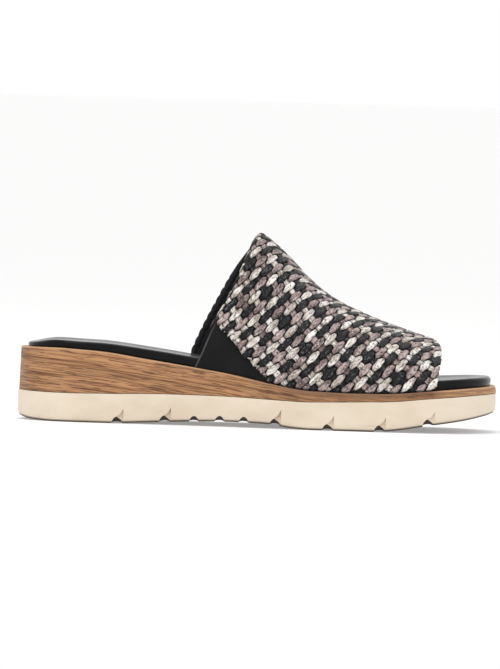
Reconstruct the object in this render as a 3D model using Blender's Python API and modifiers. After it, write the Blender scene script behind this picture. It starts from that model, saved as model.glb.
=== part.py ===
"""An open-toed, open-backed woven mule for the right foot, standing empty on its sole.

The shoe is built as it is made: a notched outsole, a wedge midsole that runs out to a thin band under the
toes, a padded insole, a woven upper and an elastic gusset. The toe points to +X, the inner side of the foot
to +Y, and the origin is on the floor under the middle of the heel's rest face.
"""
import math
from functools import lru_cache
from typing import NamedTuple

import bmesh
import bpy
import numpy as np
from mathutils import Vector

# Sole, in metres
LENGTH = 0.256
BALL_WIDTH = 0.092
HEEL_ROUND = 0.034
TOE_ROUND = 0.038
HEEL_BLUNT = 2.1
TOE_BLUNT = 2.35
TOE_SPRING = 0.0108
WAIST_LIFT = 0.0027
OUTSOLE_THICKNESS = 0.0162
OUTSOLE_EDGE = 0.0022
WEDGE_THICKNESS = 0.0240
WEDGE_INSET = 0.0005
WEDGE_LEAN = 0.0006
INSOLE_THICKNESS = 0.0052
INSOLE_EDGE = 0.0024
INSOLE_DISH = 0.0008
HEEL_REST = 0.032

# Shape of the sole's ends, in shares of their rounding
END_FLAT = 0.004

# Tread, in metres
CHANNEL_WIDTH = 0.0064
CHANNEL_HEIGHT = 0.0037
WAIST_CHANNEL_WIDTH = 0.0056
WAIST_CHANNEL_HEIGHT = 0.0031
SCOOP_HEIGHT = 0.0092
SCOOP_DEPTH = 0.0012

# Shape of a channel: its splay below the tread, its crown's sharpness, and its height across the sole and at
# the outer end of its mouths
CHANNEL_SPLAY = 1.12
CHANNEL_CROWN = 1.1
CHANNEL_STEPS = 6
CHANNEL_INSIDE = 0.3
CHANNEL_MOUTH = 1.7
CHANNEL_FLARE = 0.8

# Shape of a scoop: its spread and rise outside the wall and at its depth
SCOOP_OUTSIDE = 1.35
SCOOP_INSIDE = 0.3
SCOOP_SPREAD = 1.3
SCOOP_LEAST_RISE = 0.35
SCOOP_SHOULDER = 0.8

# Upper, in metres
INSTEP_RISE = 0.0775
UPPER_WALL = 0.0018
STRIP_RELIEF = 0.0009
STRIP_BEVEL = 0.0005
FLOAT_STEP = 0.0077
STRIP_STEP = 0.0030
FLOAT_ANGLE = math.radians(45.5)
STRIP_ANGLE = math.radians(-44)
ARCH_SHOULDER = 0.86
ARCH_CROWN = 0.84
GUSSET_WALL = 0.0014
GUSSET_SINK = 0.0006
GUSSET_FOOT = 0.041
GUSSET_TOP = 0.25

# Clearance between neighbours
GAP = 0.0003

# Fineness of the solids, and the least share of a cell that is raised where an edge cuts it
OUTSOLE_STATIONS = 46
WEDGE_STATIONS = 42
INSOLE_STATIONS = 36
ARCH_STEPS = 24
EDGE_STEPS = 24
LEAST_CELL = 0.45


class SoleRow(NamedTuple):
    """Sides of the sole in shares of the ball width, at a share of the length."""
    share: float
    lateral: float
    medial: float


class LayerRow(NamedTuple):
    """Layers of the sole: lifts and thicknesses in shares of their named sizes."""
    share: float
    spring: float
    waist: float
    outsole: float
    wedge: float
    insole: float


class UpperRow(NamedTuple):
    """Rise of the upper's ridge, in shares of the instep rise, and its shift in shares of the ball width."""
    share: float
    rise: float
    ridge: float


class EdgeRow(NamedTuple):
    """Edges of the upper: share of the way up a side, then places along the length on both sides."""
    share: float
    collar_lateral: float
    collar_medial: float
    toe_lateral: float
    toe_medial: float


class ChannelRow(NamedTuple):
    """A channel across the tread: its place along the length, and whether a scoop rises over it."""
    share: float
    scooped: bool


OUTLINE = (
    SoleRow(0.00, 0.335, 0.335),
    SoleRow(0.10, 0.353, 0.353),
    SoleRow(0.20, 0.359, 0.351),
    SoleRow(0.30, 0.362, 0.330),
    SoleRow(0.41, 0.380, 0.310),
    SoleRow(0.50, 0.428, 0.334),
    SoleRow(0.58, 0.478, 0.395),
    SoleRow(0.66, 0.502, 0.460),
    SoleRow(0.75, 0.506, 0.494),
    SoleRow(0.82, 0.502, 0.500),
    SoleRow(0.90, 0.480, 0.500),
    SoleRow(1.00, 0.420, 0.490),
)

LAYERS = (
    LayerRow(0.000, 0.20, 0.00, 0.85, 0.945, 0.32),
    LayerRow(0.030, 0.06, 0.00, 0.92, 0.968, 0.46),
    LayerRow(0.080, 0.00, 0.00, 0.95, 0.982, 0.76),
    LayerRow(0.120, 0.00, 0.00, 0.95, 0.965, 0.76),
    LayerRow(0.190, 0.00, 0.00, 0.97, 0.898, 0.85),
    LayerRow(0.260, 0.00, 0.30, 0.95, 0.768, 0.96),
    LayerRow(0.360, 0.00, 0.78, 0.88, 0.608, 1.00),
    LayerRow(0.440, 0.00, 1.00, 0.83, 0.490, 1.00),
    LayerRow(0.520, 0.00, 0.85, 0.81, 0.350, 1.00),
    LayerRow(0.570, 0.00, 0.25, 0.88, 0.275, 1.00),
    LayerRow(0.610, 0.00, 0.00, 0.91, 0.235, 1.00),
    LayerRow(0.690, 0.00, 0.00, 0.95, 0.185, 1.00),
    LayerRow(0.745, 0.00, 0.00, 0.98, 0.168, 1.00),
    LayerRow(0.790, 0.10, 0.00, 0.95, 0.163, 1.00),
    LayerRow(0.850, 0.34, 0.00, 0.89, 0.156, 1.00),
    LayerRow(0.930, 0.64, 0.00, 0.80, 0.154, 0.97),
    LayerRow(1.000, 1.00, 0.00, 0.65, 0.150, 0.94),
)

UPPER = (
    UpperRow(0.320, 1.232, 0.085),
    UpperRow(0.420, 1.116, 0.085),
    UpperRow(0.500, 0.996, 0.088),
    UpperRow(0.535, 0.930, 0.090),
    UpperRow(0.563, 0.860, 0.092),
    UpperRow(0.591, 0.777, 0.095),
    UpperRow(0.618, 0.703, 0.098),
    UpperRow(0.652, 0.626, 0.102),
    UpperRow(0.720, 0.520, 0.108),
    UpperRow(0.787, 0.434, 0.112),
    UpperRow(0.855, 0.342, 0.114),
    UpperRow(0.920, 0.268, 0.114),
)

EDGES = (
    EdgeRow(0.00, 0.3700, 0.3515, 0.8650, 0.8660),
    EdgeRow(0.08, 0.3840, 0.3605, 0.8690, 0.8700),
    EdgeRow(0.17, 0.3975, 0.3740, 0.8720, 0.8730),
    EdgeRow(0.25, 0.4105, 0.3865, 0.8745, 0.8755),
    EdgeRow(0.37, 0.4340, 0.4065, 0.8770, 0.8775),
    EdgeRow(0.48, 0.4515, 0.4245, 0.8770, 0.8775),
    EdgeRow(0.60, 0.4675, 0.4440, 0.8755, 0.8760),
    EdgeRow(0.80, 0.4890, 0.4790, 0.8705, 0.8705),
    EdgeRow(1.00, 0.5045, 0.5045, 0.8640, 0.8640),
)

CHANNELS = (
    ChannelRow(0.210, True),
    ChannelRow(0.309, True),
    ChannelRow(0.370, False),
    ChannelRow(0.423, False),
    ChannelRow(0.473, False),
    ChannelRow(0.538, True),
    ChannelRow(0.648, True),
    ChannelRow(0.756, True),
    ChannelRow(0.857, True),
)


@lru_cache(maxsize=None)
def columns_of(table):
    """Columns of a table as arrays, by name, with the slope of each at every row."""
    shares = np.array([row.share for row in table])
    steps = np.diff(shares)
    columns = {}
    for place, name in enumerate(table[0]._fields):
        values = np.array([float(row[place]) for row in table])
        rises = np.diff(values) / steps
        slopes = np.zeros(len(values))
        slopes[0] = rises[0]
        slopes[-1] = rises[-1]
        for k in range(1, len(values) - 1):
            if rises[k - 1] * rises[k] > 0:
                slopes[k] = 2 * rises[k - 1] * rises[k] / (rises[k - 1] + rises[k])
        columns[name] = (values, slopes)
    return columns


def read(table, name, share):
    """Value of a column at a share, on a smooth curve that never overshoots the table's rows."""
    columns = columns_of(table)
    shares = columns["share"][0]
    values, slopes = columns[name]
    share = min(max(share, shares[0]), shares[-1])
    k = min(int(np.searchsorted(shares, share, side="right")) - 1, len(shares) - 2)
    step = shares[k + 1] - shares[k]
    t = (share - shares[k]) / step
    return float(
        values[k] * (2 * t**3 - 3 * t**2 + 1)
        + slopes[k] * step * (t**3 - 2 * t**2 + t)
        + values[k + 1] * (3 * t**2 - 2 * t**3)
        + slopes[k + 1] * step * (t**3 - t**2)
    )


def ground(x):
    """Height of the outsole's underside above the floor."""
    share = x / LENGTH
    return TOE_SPRING * read(LAYERS, "spring", share) + WAIST_LIFT * read(LAYERS, "waist", share)


def outsole_top(x):
    """Height of the outsole's upper face."""
    return ground(x) + OUTSOLE_THICKNESS * read(LAYERS, "outsole", x / LENGTH)


def wedge_top(x):
    """Height of the wedge's upper face, on which insole and upper stand."""
    return outsole_top(x) + GAP + WEDGE_THICKNESS * read(LAYERS, "wedge", x / LENGTH)


def insole_top(x):
    """Height of the insole's upper face, before its edge is rounded."""
    return wedge_top(x) + GAP + INSOLE_THICKNESS * read(LAYERS, "insole", x / LENGTH)


def insole_level(x, share):
    """Height at a share of the insole's thickness."""
    foot = wedge_top(x) + GAP
    return foot + (insole_top(x) - foot) * share


def end_width(distance, reach, power):
    """Share of the full width at a distance from an end whose rounding has this reach and bluntness."""
    flat = reach * END_FLAT
    if distance >= reach:
        return 1.0
    inward = (reach - distance) / (reach + flat)
    return (1 - inward**power) ** (1 / power)


def sides(x):
    """The sole's lateral and medial side, as y, at a distance from the back of the heel."""
    lateral = -BALL_WIDTH * read(OUTLINE, "lateral", x / LENGTH)
    medial = BALL_WIDTH * read(OUTLINE, "medial", x / LENGTH)
    width = min(end_width(x, HEEL_ROUND, HEEL_BLUNT), end_width(LENGTH - x, TOE_ROUND, TOE_BLUNT))
    middle = (lateral + medial) / 2
    return middle + (lateral - middle) * width, middle + (medial - middle) * width


def outline(count, inset):
    """The sole's outline drawn in by an inset: forward along the lateral side, back along the medial one."""
    shares = [(1 - math.cos(math.pi * k / (count - 1))) / 2 for k in range(count)]
    places = [share * LENGTH for share in shares]
    lateral = [Vector((x, sides(x)[0])) for x in places]
    medial = [Vector((x, sides(x)[1])) for x in places]
    loop = lateral + medial[::-1]
    drawn = []
    for k, point in enumerate(loop):
        along = loop[(k + 1) % len(loop)] - loop[k - 1]
        drawn.append(point + Vector((-along.y, along.x)).normalized() * inset)
    return drawn


def finish(name, colour, roughness):
    """A plain material with one colour and roughness."""
    material = bpy.data.materials.new(name)
    material.use_nodes = True
    shader = material.node_tree.nodes["Principled BSDF"]
    shader.inputs["Base Color"].default_value = (*colour, 1)
    shader.inputs["Roughness"].default_value = roughness
    shader.inputs["Metallic"].default_value = 0.0
    material.diffuse_color = (*colour, 1)
    return material


def add_object(name, shape, collection, material=None):
    """Turn a bmesh, measured from the back of the heel, into an object with its origin under the heel."""
    bmesh.ops.translate(shape, verts=shape.verts, vec=(-HEEL_REST, 0, 0))
    mesh = bpy.data.meshes.new(name)
    shape.to_mesh(mesh)
    shape.free()
    piece = bpy.data.objects.new(name, mesh)
    collection.objects.link(piece)
    if material:
        mesh.materials.append(material)
        mesh.shade_smooth()
        mesh.set_sharp_from_angle(angle=math.radians(35))
    return piece


def layered_solid(count, rings):
    """Closed solid between rings of the outline, lowest first; a ring is an inset and a height function."""
    shape = bmesh.new()
    loops = []
    for inset, height in rings:
        points = outline(count, inset)
        loops.append([shape.verts.new((p.x, p.y, height(p.x))) for p in points])
    around = len(loops[0])
    for low, high in zip(loops, loops[1:]):
        for k in range(around):
            after = (k + 1) % around
            shape.faces.new((low[k], low[after], high[after], high[k]))
    for k in range(count - 1):
        across = (k, k + 1, around - 2 - k, around - 1 - k)
        shape.faces.new([loops[-1][j] for j in across])
        shape.faces.new([loops[0][j] for j in reversed(across)])
    return shape


def loft(shape, sections):
    """Add a closed body through sections of equal count to a bmesh."""
    loops = [[shape.verts.new(point) for point in section] for section in sections]
    around = len(loops[0])
    for one, two in zip(loops, loops[1:]):
        for k in range(around):
            after = (k + 1) % around
            shape.faces.new((one[k], one[after], two[after], two[k]))
    shape.faces.new(loops[0][::-1])
    shape.faces.new(loops[-1])


def channel_section(x, y, width, height):
    """Round-topped section of a channel, from below the tread to its crown."""
    base = ground(x)
    below = base - height
    half = width / 2
    section = [(x - half * CHANNEL_SPLAY, y, below), (x + half * CHANNEL_SPLAY, y, below)]
    for k in range(CHANNEL_STEPS + 1):
        angle = math.pi * k / CHANNEL_STEPS
        section.append((x + half * math.cos(angle), y, base + height * math.sin(angle) ** CHANNEL_CROWN))
    return section


def add_channels(collection):
    """Cutter for the channels across the tread; they are taller where they open at the sides."""
    shape = bmesh.new()
    for row in CHANNELS:
        x = row.share * LENGTH
        lateral, medial = sides(x)
        width = CHANNEL_WIDTH if row.scooped else WAIST_CHANNEL_WIDTH
        height = CHANNEL_HEIGHT if row.scooped else WAIST_CHANNEL_HEIGHT
        flare = width * CHANNEL_FLARE
        places = (
            (medial + flare, CHANNEL_MOUTH),
            (medial - flare, CHANNEL_INSIDE),
            (lateral + flare, CHANNEL_INSIDE),
            (lateral - flare, CHANNEL_MOUTH),
        )
        loft(shape, [channel_section(x, y, width, height * tall) for y, tall in places])
    bmesh.ops.recalc_face_normals(shape, faces=shape.faces)
    return add_object("channel_cutter", shape, collection)


def scoop_section(x, y, spread):
    """Section of a side scoop: upright towards the toe and slanted towards the heel."""
    front = x + CHANNEL_WIDTH / 2
    back = front - CHANNEL_WIDTH * SCOOP_SPREAD * spread
    base = ground(x)
    rise = SCOOP_LEAST_RISE + (1 - SCOOP_LEAST_RISE) * spread
    crown = base + CHANNEL_HEIGHT + (SCOOP_HEIGHT - CHANNEL_HEIGHT) * rise
    return [
        (back, y, base - CHANNEL_HEIGHT),
        (front, y, base - CHANNEL_HEIGHT),
        (front, y, crown),
        (back, y, base + CHANNEL_HEIGHT * SCOOP_SHOULDER),
    ]


def add_scoops(collection):
    """Cutter for the shallow scoops that rise over the wide channels on both side walls."""
    shape = bmesh.new()
    for row in CHANNELS:
        if not row.scooped:
            continue
        x = row.share * LENGTH
        lateral, medial = sides(x)
        for wall, outward in ((lateral, -1), (medial, 1)):
            outer = scoop_section(x, wall + outward * 2 * SCOOP_DEPTH, SCOOP_OUTSIDE)
            inner = scoop_section(x, wall - outward * SCOOP_DEPTH, SCOOP_INSIDE)
            loft(shape, [outer, inner])
    bmesh.ops.recalc_face_normals(shape, faces=shape.faces)
    return add_object("scoop_cutter", shape, collection)


def add_cut(piece, cutter):
    """Cut a piece with a cutter that is neither shown nor kept as a node."""
    cutter.hide_render = True
    cutter.display_type = "WIRE"
    cut = piece.modifiers.new(cutter.name, "BOOLEAN")
    cut.operation = "DIFFERENCE"
    cut.solver = "EXACT"
    cut.object = cutter


def add_outsole(collection, cutters):
    """Cream outsole with rounded edges, cross channels and side scoops."""
    rings = (
        (OUTSOLE_EDGE, ground),
        (OUTSOLE_EDGE * 0.3, lambda x: ground(x) + OUTSOLE_EDGE * 0.5),
        (0.0, lambda x: ground(x) + OUTSOLE_EDGE * 1.6),
        (0.0, lambda x: outsole_top(x) - OUTSOLE_EDGE * 0.5),
        (OUTSOLE_EDGE * 0.25, outsole_top),
    )
    shape = layered_solid(OUTSOLE_STATIONS, rings)
    piece = add_object("outsole", shape, collection, finish("cream_rubber", (0.83, 0.73, 0.60), 0.55))
    add_cut(piece, add_scoops(cutters))
    add_cut(piece, add_channels(cutters))


def add_wedge(collection):
    """Wood-look wedge: thick under the heel and a thin band under the toes."""
    rings = (
        (WEDGE_INSET, lambda x: outsole_top(x) + GAP),
        (WEDGE_INSET + WEDGE_LEAN, lambda x: wedge_top(x) - WEDGE_LEAN),
        (WEDGE_INSET + WEDGE_LEAN * 2, wedge_top),
    )
    shape = layered_solid(WEDGE_STATIONS, rings)
    add_object("wedge_midsole", shape, collection, finish("wood_wrap", (0.40, 0.22, 0.11), 0.5))


def upper_inset():
    """Distance from the sole's side to the face of the upper's wall, under its raised strips."""
    return WEDGE_INSET + WEDGE_LEAN * 2 + STRIP_RELIEF


def add_insole(collection):
    """Padded black insole inside the foot of the upper, with a rounded edge and a slight dish."""
    inset = upper_inset() + UPPER_WALL + GAP
    rings = (
        (inset + INSOLE_EDGE * 0.2, lambda x: insole_level(x, 0.0)),
        (inset, lambda x: insole_level(x, 0.35)),
        (inset + INSOLE_EDGE * 0.12, lambda x: insole_level(x, 0.72)),
        (inset + INSOLE_EDGE * 0.45, lambda x: insole_level(x, 0.91)),
        (inset + INSOLE_EDGE, insole_top),
        (inset + INSOLE_EDGE * 4, lambda x: insole_top(x) - INSOLE_DISH),
    )
    shape = layered_solid(INSOLE_STATIONS, rings)
    add_object("insole", shape, collection, finish("black_leather", (0.02, 0.02, 0.022), 0.4))


@lru_cache(maxsize=None)
def arch(x):
    """Section of the upper at a place along the shoe: its points and their distance round the section."""
    lateral, medial = sides(x)
    lateral += upper_inset()
    medial -= upper_inset()
    share = x / LENGTH
    foot = wedge_top(x) + GAP
    rise = INSTEP_RISE * read(UPPER, "rise", share)
    ridge = (lateral + medial) / 2 + BALL_WIDTH * read(UPPER, "ridge", share)
    angles = np.linspace(0, math.pi, 2 * ARCH_STEPS + 1)
    across = np.sign(np.cos(angles)) * np.abs(np.cos(angles)) ** ARCH_SHOULDER
    reach = np.where(across > 0, ridge - lateral, medial - ridge)
    y = ridge - across * reach
    z = foot + rise * np.sin(angles) ** ARCH_CROWN
    steps = np.hypot(np.diff(y), np.diff(z))
    return y, z, np.concatenate(([0.0], np.cumsum(steps)))


def round_length(x, share, side):
    """Distance round the section to a share of the way up one side, from the lateral foot."""
    distance = arch(x)[2]
    ridge = distance[ARCH_STEPS]
    if side == "lateral":
        return ridge * share
    return distance[-1] - (distance[-1] - ridge) * share


def on_face(x, around):
    """Point on the upper's face, a distance round from the lateral foot; it runs on past both feet."""
    y, z, distance = arch(x)
    point = Vector((x, float(np.interp(around, distance, y)), float(np.interp(around, distance, z))))
    point.z -= max(0.0, -around) + max(0.0, around - float(distance[-1]))
    return point


def on_upper(x, around, depth):
    """Point a depth under the upper's face, along the face's normal."""
    step = LENGTH * 0.004
    forward = on_face(x + step, around) - on_face(x - step, around)
    upward = on_face(x, around + step) - on_face(x, around - step)
    return on_face(x, around) - forward.cross(upward).normalized() * depth


@lru_cache(maxsize=None)
def edge_line(edge):
    """Collar or toe edge laid flat: distances round the upper, and the place along the shoe at each."""
    rows = []
    for side in ("lateral", "medial"):
        for k in range(EDGE_STEPS + 1):
            share = k / EDGE_STEPS
            x = LENGTH * read(EDGES, edge + "_" + side, share)
            rows.append((round_length(x, share, side), x))
    rows.sort()
    return np.array(rows)


def edge_place(edge, around):
    """Place along the shoe of the collar or toe edge, at a distance round the upper."""
    rows = edge_line(edge)
    return float(np.interp(around, rows[:, 0], rows[:, 1]))


def trim_flat(sheet, point, direction):
    """Cut the flat sheet along a line and drop what lies behind the direction."""
    geometry = sheet.verts[:] + sheet.edges[:] + sheet.faces[:]
    bmesh.ops.bisect_plane(sheet, geom=geometry, plane_co=point, plane_no=direction, clear_inner=True)


def trim_to_upper(sheet):
    """Cut a flat sheet to the collar, the toe edge and both feet of the upper.

    The sheet is sheared so that each curved edge becomes straight, cut there, and sheared back.
    """
    for edge, direction in (("collar", 1), ("toe", -1)):
        for vert in sheet.verts:
            vert.co.x -= edge_place(edge, vert.co.y)
        trim_flat(sheet, (0, 0, 0), (direction, 0, 0))
        for vert in sheet.verts:
            vert.co.x += edge_place(edge, vert.co.y)
    trim_flat(sheet, (0, 0, 0), (0, 1, 0))
    for vert in sheet.verts:
        vert.co.y -= float(arch(vert.co.x)[2][-1])
    trim_flat(sheet, (0, 0, 0), (0, -1, 0))
    for vert in sheet.verts:
        vert.co.y += float(arch(vert.co.x)[2][-1])


def gusset_seam():
    """Line between weave and gusset on the flat sheet: its foot, its top and the direction to the weave."""
    top_x = LENGTH * read(EDGES, "collar_lateral", GUSSET_TOP)
    top = Vector((top_x, round_length(top_x, GUSSET_TOP, "lateral"), 0))
    foot = Vector((LENGTH * read(EDGES, "collar_lateral", 0) + GUSSET_FOOT, 0, 0))
    along = (foot - top).normalized()
    return foot, Vector((-along.y, along.x, 0))


def flat_lattice(first, second, cover):
    """Flat lattice over a rectangle from the origin to its far corner.

    Its cells step along two directions, the second anticlockwise of the first.
    """
    determinant = first.x * second.y - first.y * second.x
    corners = []
    for x in (0.0, cover.x):
        for y in (0.0, cover.y):
            along = (x * second.y - y * second.x) / determinant
            across = (first.x * y - first.y * x) / determinant
            corners.append((along, across))
    low = [math.floor(min(corner[k] for corner in corners)) for k in (0, 1)]
    high = [math.ceil(max(corner[k] for corner in corners)) for k in (0, 1)]
    counts = [high[k] - low[k] for k in (0, 1)]
    sheet = bmesh.new()
    bmesh.ops.create_grid(sheet, x_segments=counts[0], y_segments=counts[1], size=0.5)
    over = sheet.faces.layers.int.new("over")
    for face in sheet.faces:
        centre = face.calc_center_median()
        cell = [math.floor((centre[k] + 0.5) * counts[k]) for k in (0, 1)]
        face[over] = (cell[0] + cell[1]) % 2
    for vert in sheet.verts:
        steps = [low[k] + round((vert.co[k] + 0.5) * counts[k]) for k in (0, 1)]
        place = first * steps[0] + second * steps[1]
        vert.co = (place.x, place.y, 0)
    return sheet


def drop_outside(sheet, low, high):
    """Drop the cells of a flat sheet that lie well outside the upper."""
    stray = [f for f in sheet.faces if not (low < f.calc_center_median().x < high)]
    bmesh.ops.delete(sheet, geom=stray, context="FACES")


def shell(name, sheet, depth, wall, collection, material):
    """Wrap a trimmed flat sheet onto the upper and give it its wall inwards; returns its outer face count."""
    bmesh.ops.remove_doubles(sheet, verts=sheet.verts, dist=STRIP_BEVEL)
    bmesh.ops.dissolve_degenerate(sheet, edges=sheet.edges, dist=STRIP_BEVEL / 5)
    for vert in sheet.verts:
        vert.co = on_upper(vert.co.x, vert.co.y, depth)
    piece = add_object(name, sheet, collection, material)
    thick = piece.modifiers.new("wall", "SOLIDIFY")
    thick.thickness = wall
    thick.offset = -1
    thick.use_even_offset = True
    outer = len(piece.data.polygons)
    solid = bpy.data.meshes.new_from_object(piece.evaluated_get(bpy.context.evaluated_depsgraph_get()))
    piece.modifiers.clear()
    piece.data = solid
    solid.name = name
    return piece, outer


def level_foot(shape):
    """Keep a shell's foot just above the wedge that it stands on."""
    for vert in shape.verts:
        vert.co.z = max(vert.co.z, wedge_top(vert.co.x + HEEL_REST) + GAP)


def add_upper(collection):
    """Woven upper: one hollow wall, its strips raised where they pass over the crossing ones."""
    first = Vector((math.cos(FLOAT_ANGLE), math.sin(FLOAT_ANGLE))) * FLOAT_STEP
    second = Vector((math.cos(STRIP_ANGLE), math.sin(STRIP_ANGLE))) * STRIP_STEP
    collar = edge_line("collar")[:, 1]
    toe = edge_line("toe")[:, 1]
    cover = Vector((toe.max(), edge_line("collar")[:, 0].max() + FLOAT_STEP))
    sheet = flat_lattice(second, first, cover)
    drop_outside(sheet, collar.min() - FLOAT_STEP, toe.max() + FLOAT_STEP)
    trim_to_upper(sheet)
    seam, towards_weave = gusset_seam()
    trim_flat(sheet, seam + towards_weave * GAP, towards_weave)
    material = finish("woven_strips", (0.35, 0.31, 0.29), 0.7)
    piece, outer = shell("woven_upper", sheet, 0.0, UPPER_WALL, collection, material)
    shape = bmesh.new()
    shape.from_mesh(piece.data)
    shape.faces.ensure_lookup_table()
    over = shape.faces.layers.int["over"]
    whole = abs(first.x * second.y - first.y * second.x)
    raised = [face for face in shape.faces[:outer] if face[over] and face.calc_area() > whole * LEAST_CELL]
    bmesh.ops.inset_individual(
        shape, faces=raised, thickness=STRIP_BEVEL, depth=STRIP_RELIEF, use_even_offset=True
    )
    level_foot(shape)
    shape.to_mesh(piece.data)
    shape.free()


def add_gusset(collection):
    """Black elastic triangle between the rear of the weave and the wedge, on the lateral side."""
    seam, towards_weave = gusset_seam()
    first = Vector((FLOAT_STEP, 0))
    second = Vector((0, FLOAT_STEP))
    rear = LENGTH * read(EDGES, "collar_lateral", 0)
    top_x = LENGTH * read(EDGES, "collar_lateral", GUSSET_TOP)
    cover = Vector((seam.x + FLOAT_STEP, round_length(top_x, GUSSET_TOP, "lateral") + FLOAT_STEP))
    sheet = flat_lattice(first, second, cover)
    drop_outside(sheet, rear - FLOAT_STEP, seam.x + FLOAT_STEP)
    trim_to_upper(sheet)
    trim_flat(sheet, seam, -towards_weave)
    material = finish("black_elastic", (0.018, 0.018, 0.019), 0.75)
    piece = shell("elastic_gusset", sheet, GUSSET_SINK, GUSSET_WALL, collection, material)[0]
    shape = bmesh.new()
    shape.from_mesh(piece.data)
    level_foot(shape)
    shape.to_mesh(piece.data)
    shape.free()


def clear_scene():
    """Remove what the scene holds at the start."""
    for thing in list(bpy.data.objects):
        bpy.data.objects.remove(thing, do_unlink=True)


def build():
    """Build the shoe from the floor up."""
    clear_scene()
    shoe = bpy.data.collections.new("woven_mule")
    cutters = bpy.data.collections.new("cutters")
    for collection in (shoe, cutters):
        bpy.context.scene.collection.children.link(collection)
    add_outsole(shoe, cutters)
    add_wedge(shoe)
    add_insole(shoe)
    add_upper(shoe)
    add_gusset(shoe)


build()
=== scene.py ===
"""Looks of an open-toed, open-backed woven mule for the right foot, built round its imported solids.

The shoe stands on a pale floor with its toe to +X and the inner side of the foot to +Y. The sole's layers,
the padded insole, the woven strips, their lining and the elastic gusset are modelled here at full detail, on
the same sections as the solids that they stand for.
"""
import logging
import math
from dataclasses import dataclass, field
from enum import Enum
from functools import cached_property

import bmesh
import bpy
import numpy as np
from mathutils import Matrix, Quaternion, Vector


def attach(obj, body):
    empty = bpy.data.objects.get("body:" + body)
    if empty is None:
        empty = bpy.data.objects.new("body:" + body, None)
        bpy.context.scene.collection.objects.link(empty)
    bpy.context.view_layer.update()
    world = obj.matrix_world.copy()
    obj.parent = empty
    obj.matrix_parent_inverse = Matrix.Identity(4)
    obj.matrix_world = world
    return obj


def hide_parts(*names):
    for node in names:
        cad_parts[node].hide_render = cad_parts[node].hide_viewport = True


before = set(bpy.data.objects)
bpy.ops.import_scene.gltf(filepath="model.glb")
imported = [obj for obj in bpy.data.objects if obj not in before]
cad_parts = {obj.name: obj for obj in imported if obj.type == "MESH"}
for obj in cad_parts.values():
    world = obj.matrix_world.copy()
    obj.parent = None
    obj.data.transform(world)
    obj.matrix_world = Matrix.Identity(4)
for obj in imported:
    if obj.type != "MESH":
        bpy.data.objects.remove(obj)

Array = np.ndarray
Colour = tuple[float, float, float, float]
Triple = tuple[float, float, float]
Span = tuple[float, float]

# Middle value of a noise
MEAN = 0.5

# Angles between faces past which a crease stays sharp, in degrees
SOLE_CREASE = 32.0
PANEL_CREASE = 40.0
PAD_CREASE = 50.0
ROLL_CREASE = 60.0


def paint(red: int, green: int, blue: int) -> Colour:
    """Colour as light adds it up, from the eight-bit values that a screen shows."""
    shown = [value / 255 for value in (red, green, blue)]
    linear = [value / 12.92 if value <= 0.04045 else ((value + 0.055) / 1.055) ** 2.4 for value in shown]
    return (linear[0], linear[1], linear[2], 1.0)


def eased(share: Array) -> Array:
    """Shares from 0 to 1, slowed at both ends."""
    return share * share * (3 - 2 * share)


def blunted(values: Array, power: float) -> Array:
    """Sizes of values raised to a power, each with its own sign."""
    return np.sign(values) * np.abs(values) ** power


def unit(vectors: Array) -> Array:
    """Vectors, one in each row, at unit length."""
    return vectors / np.linalg.norm(vectors, axis=-1, keepdims=True)


class Tone(Enum):
    """Colour of a woven strip."""

    CREAM = "cream"
    TAUPE = "taupe"
    BLACK = "black"


class Run(Enum):
    """Direction of a woven strip: up the outer side towards the toe, or down it."""

    RISING = "rising"
    FALLING = "falling"


class Edge(Enum):
    """Turned edge of the upper."""

    COLLAR = "collar"
    TOE = "toe"


@dataclass(frozen=True)
class Table:
    """Short table with named columns, read on a smooth curve that never overshoots its rows."""

    columns: tuple[str, ...]
    rows: tuple[tuple[float, ...], ...]

    def read(self, column: str, share: Array | float) -> Array:
        """Values of a column.

        Args:
            column: Name of the column.
            share: Where to read it, in the unit of the first column.

        Returns:
            One value for each share.
        """
        table = np.array(self.rows, float)
        shares = table[:, 0]
        values = table[:, self.columns.index(column)]
        rises = np.diff(values) / np.diff(shares)
        slopes = np.concatenate(([rises[0]], np.zeros(len(rises) - 1), [rises[-1]]))
        before, after = rises[:-1], rises[1:]
        same = before * after > 0
        slopes[1:-1][same] = 2 * before[same] * after[same] / (before[same] + after[same])
        share = np.clip(np.asarray(share, float), shares[0], shares[-1])
        k = np.clip(np.searchsorted(shares, share, side="right") - 1, 0, len(shares) - 2)
        step = shares[k + 1] - shares[k]
        t = (share - shares[k]) / step
        return (
            values[k] * (2 * t**3 - 3 * t**2 + 1)
            + slopes[k] * step * (t**3 - 2 * t**2 + t)
            + values[k + 1] * (3 * t**2 - 2 * t**3)
            + slopes[k + 1] * step * (t**3 - t**2)
        )


# Sides of the sole in shares of the ball width, at shares of the length
OUTLINE = Table(
    ("share", "lateral", "medial"),
    (
        (0.00, 0.335, 0.335),
        (0.10, 0.353, 0.353),
        (0.20, 0.359, 0.351),
        (0.30, 0.362, 0.330),
        (0.41, 0.380, 0.310),
        (0.50, 0.428, 0.334),
        (0.58, 0.478, 0.395),
        (0.66, 0.502, 0.460),
        (0.75, 0.506, 0.494),
        (0.82, 0.502, 0.500),
        (0.90, 0.480, 0.500),
        (1.00, 0.420, 0.490),
    ),
)

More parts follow.
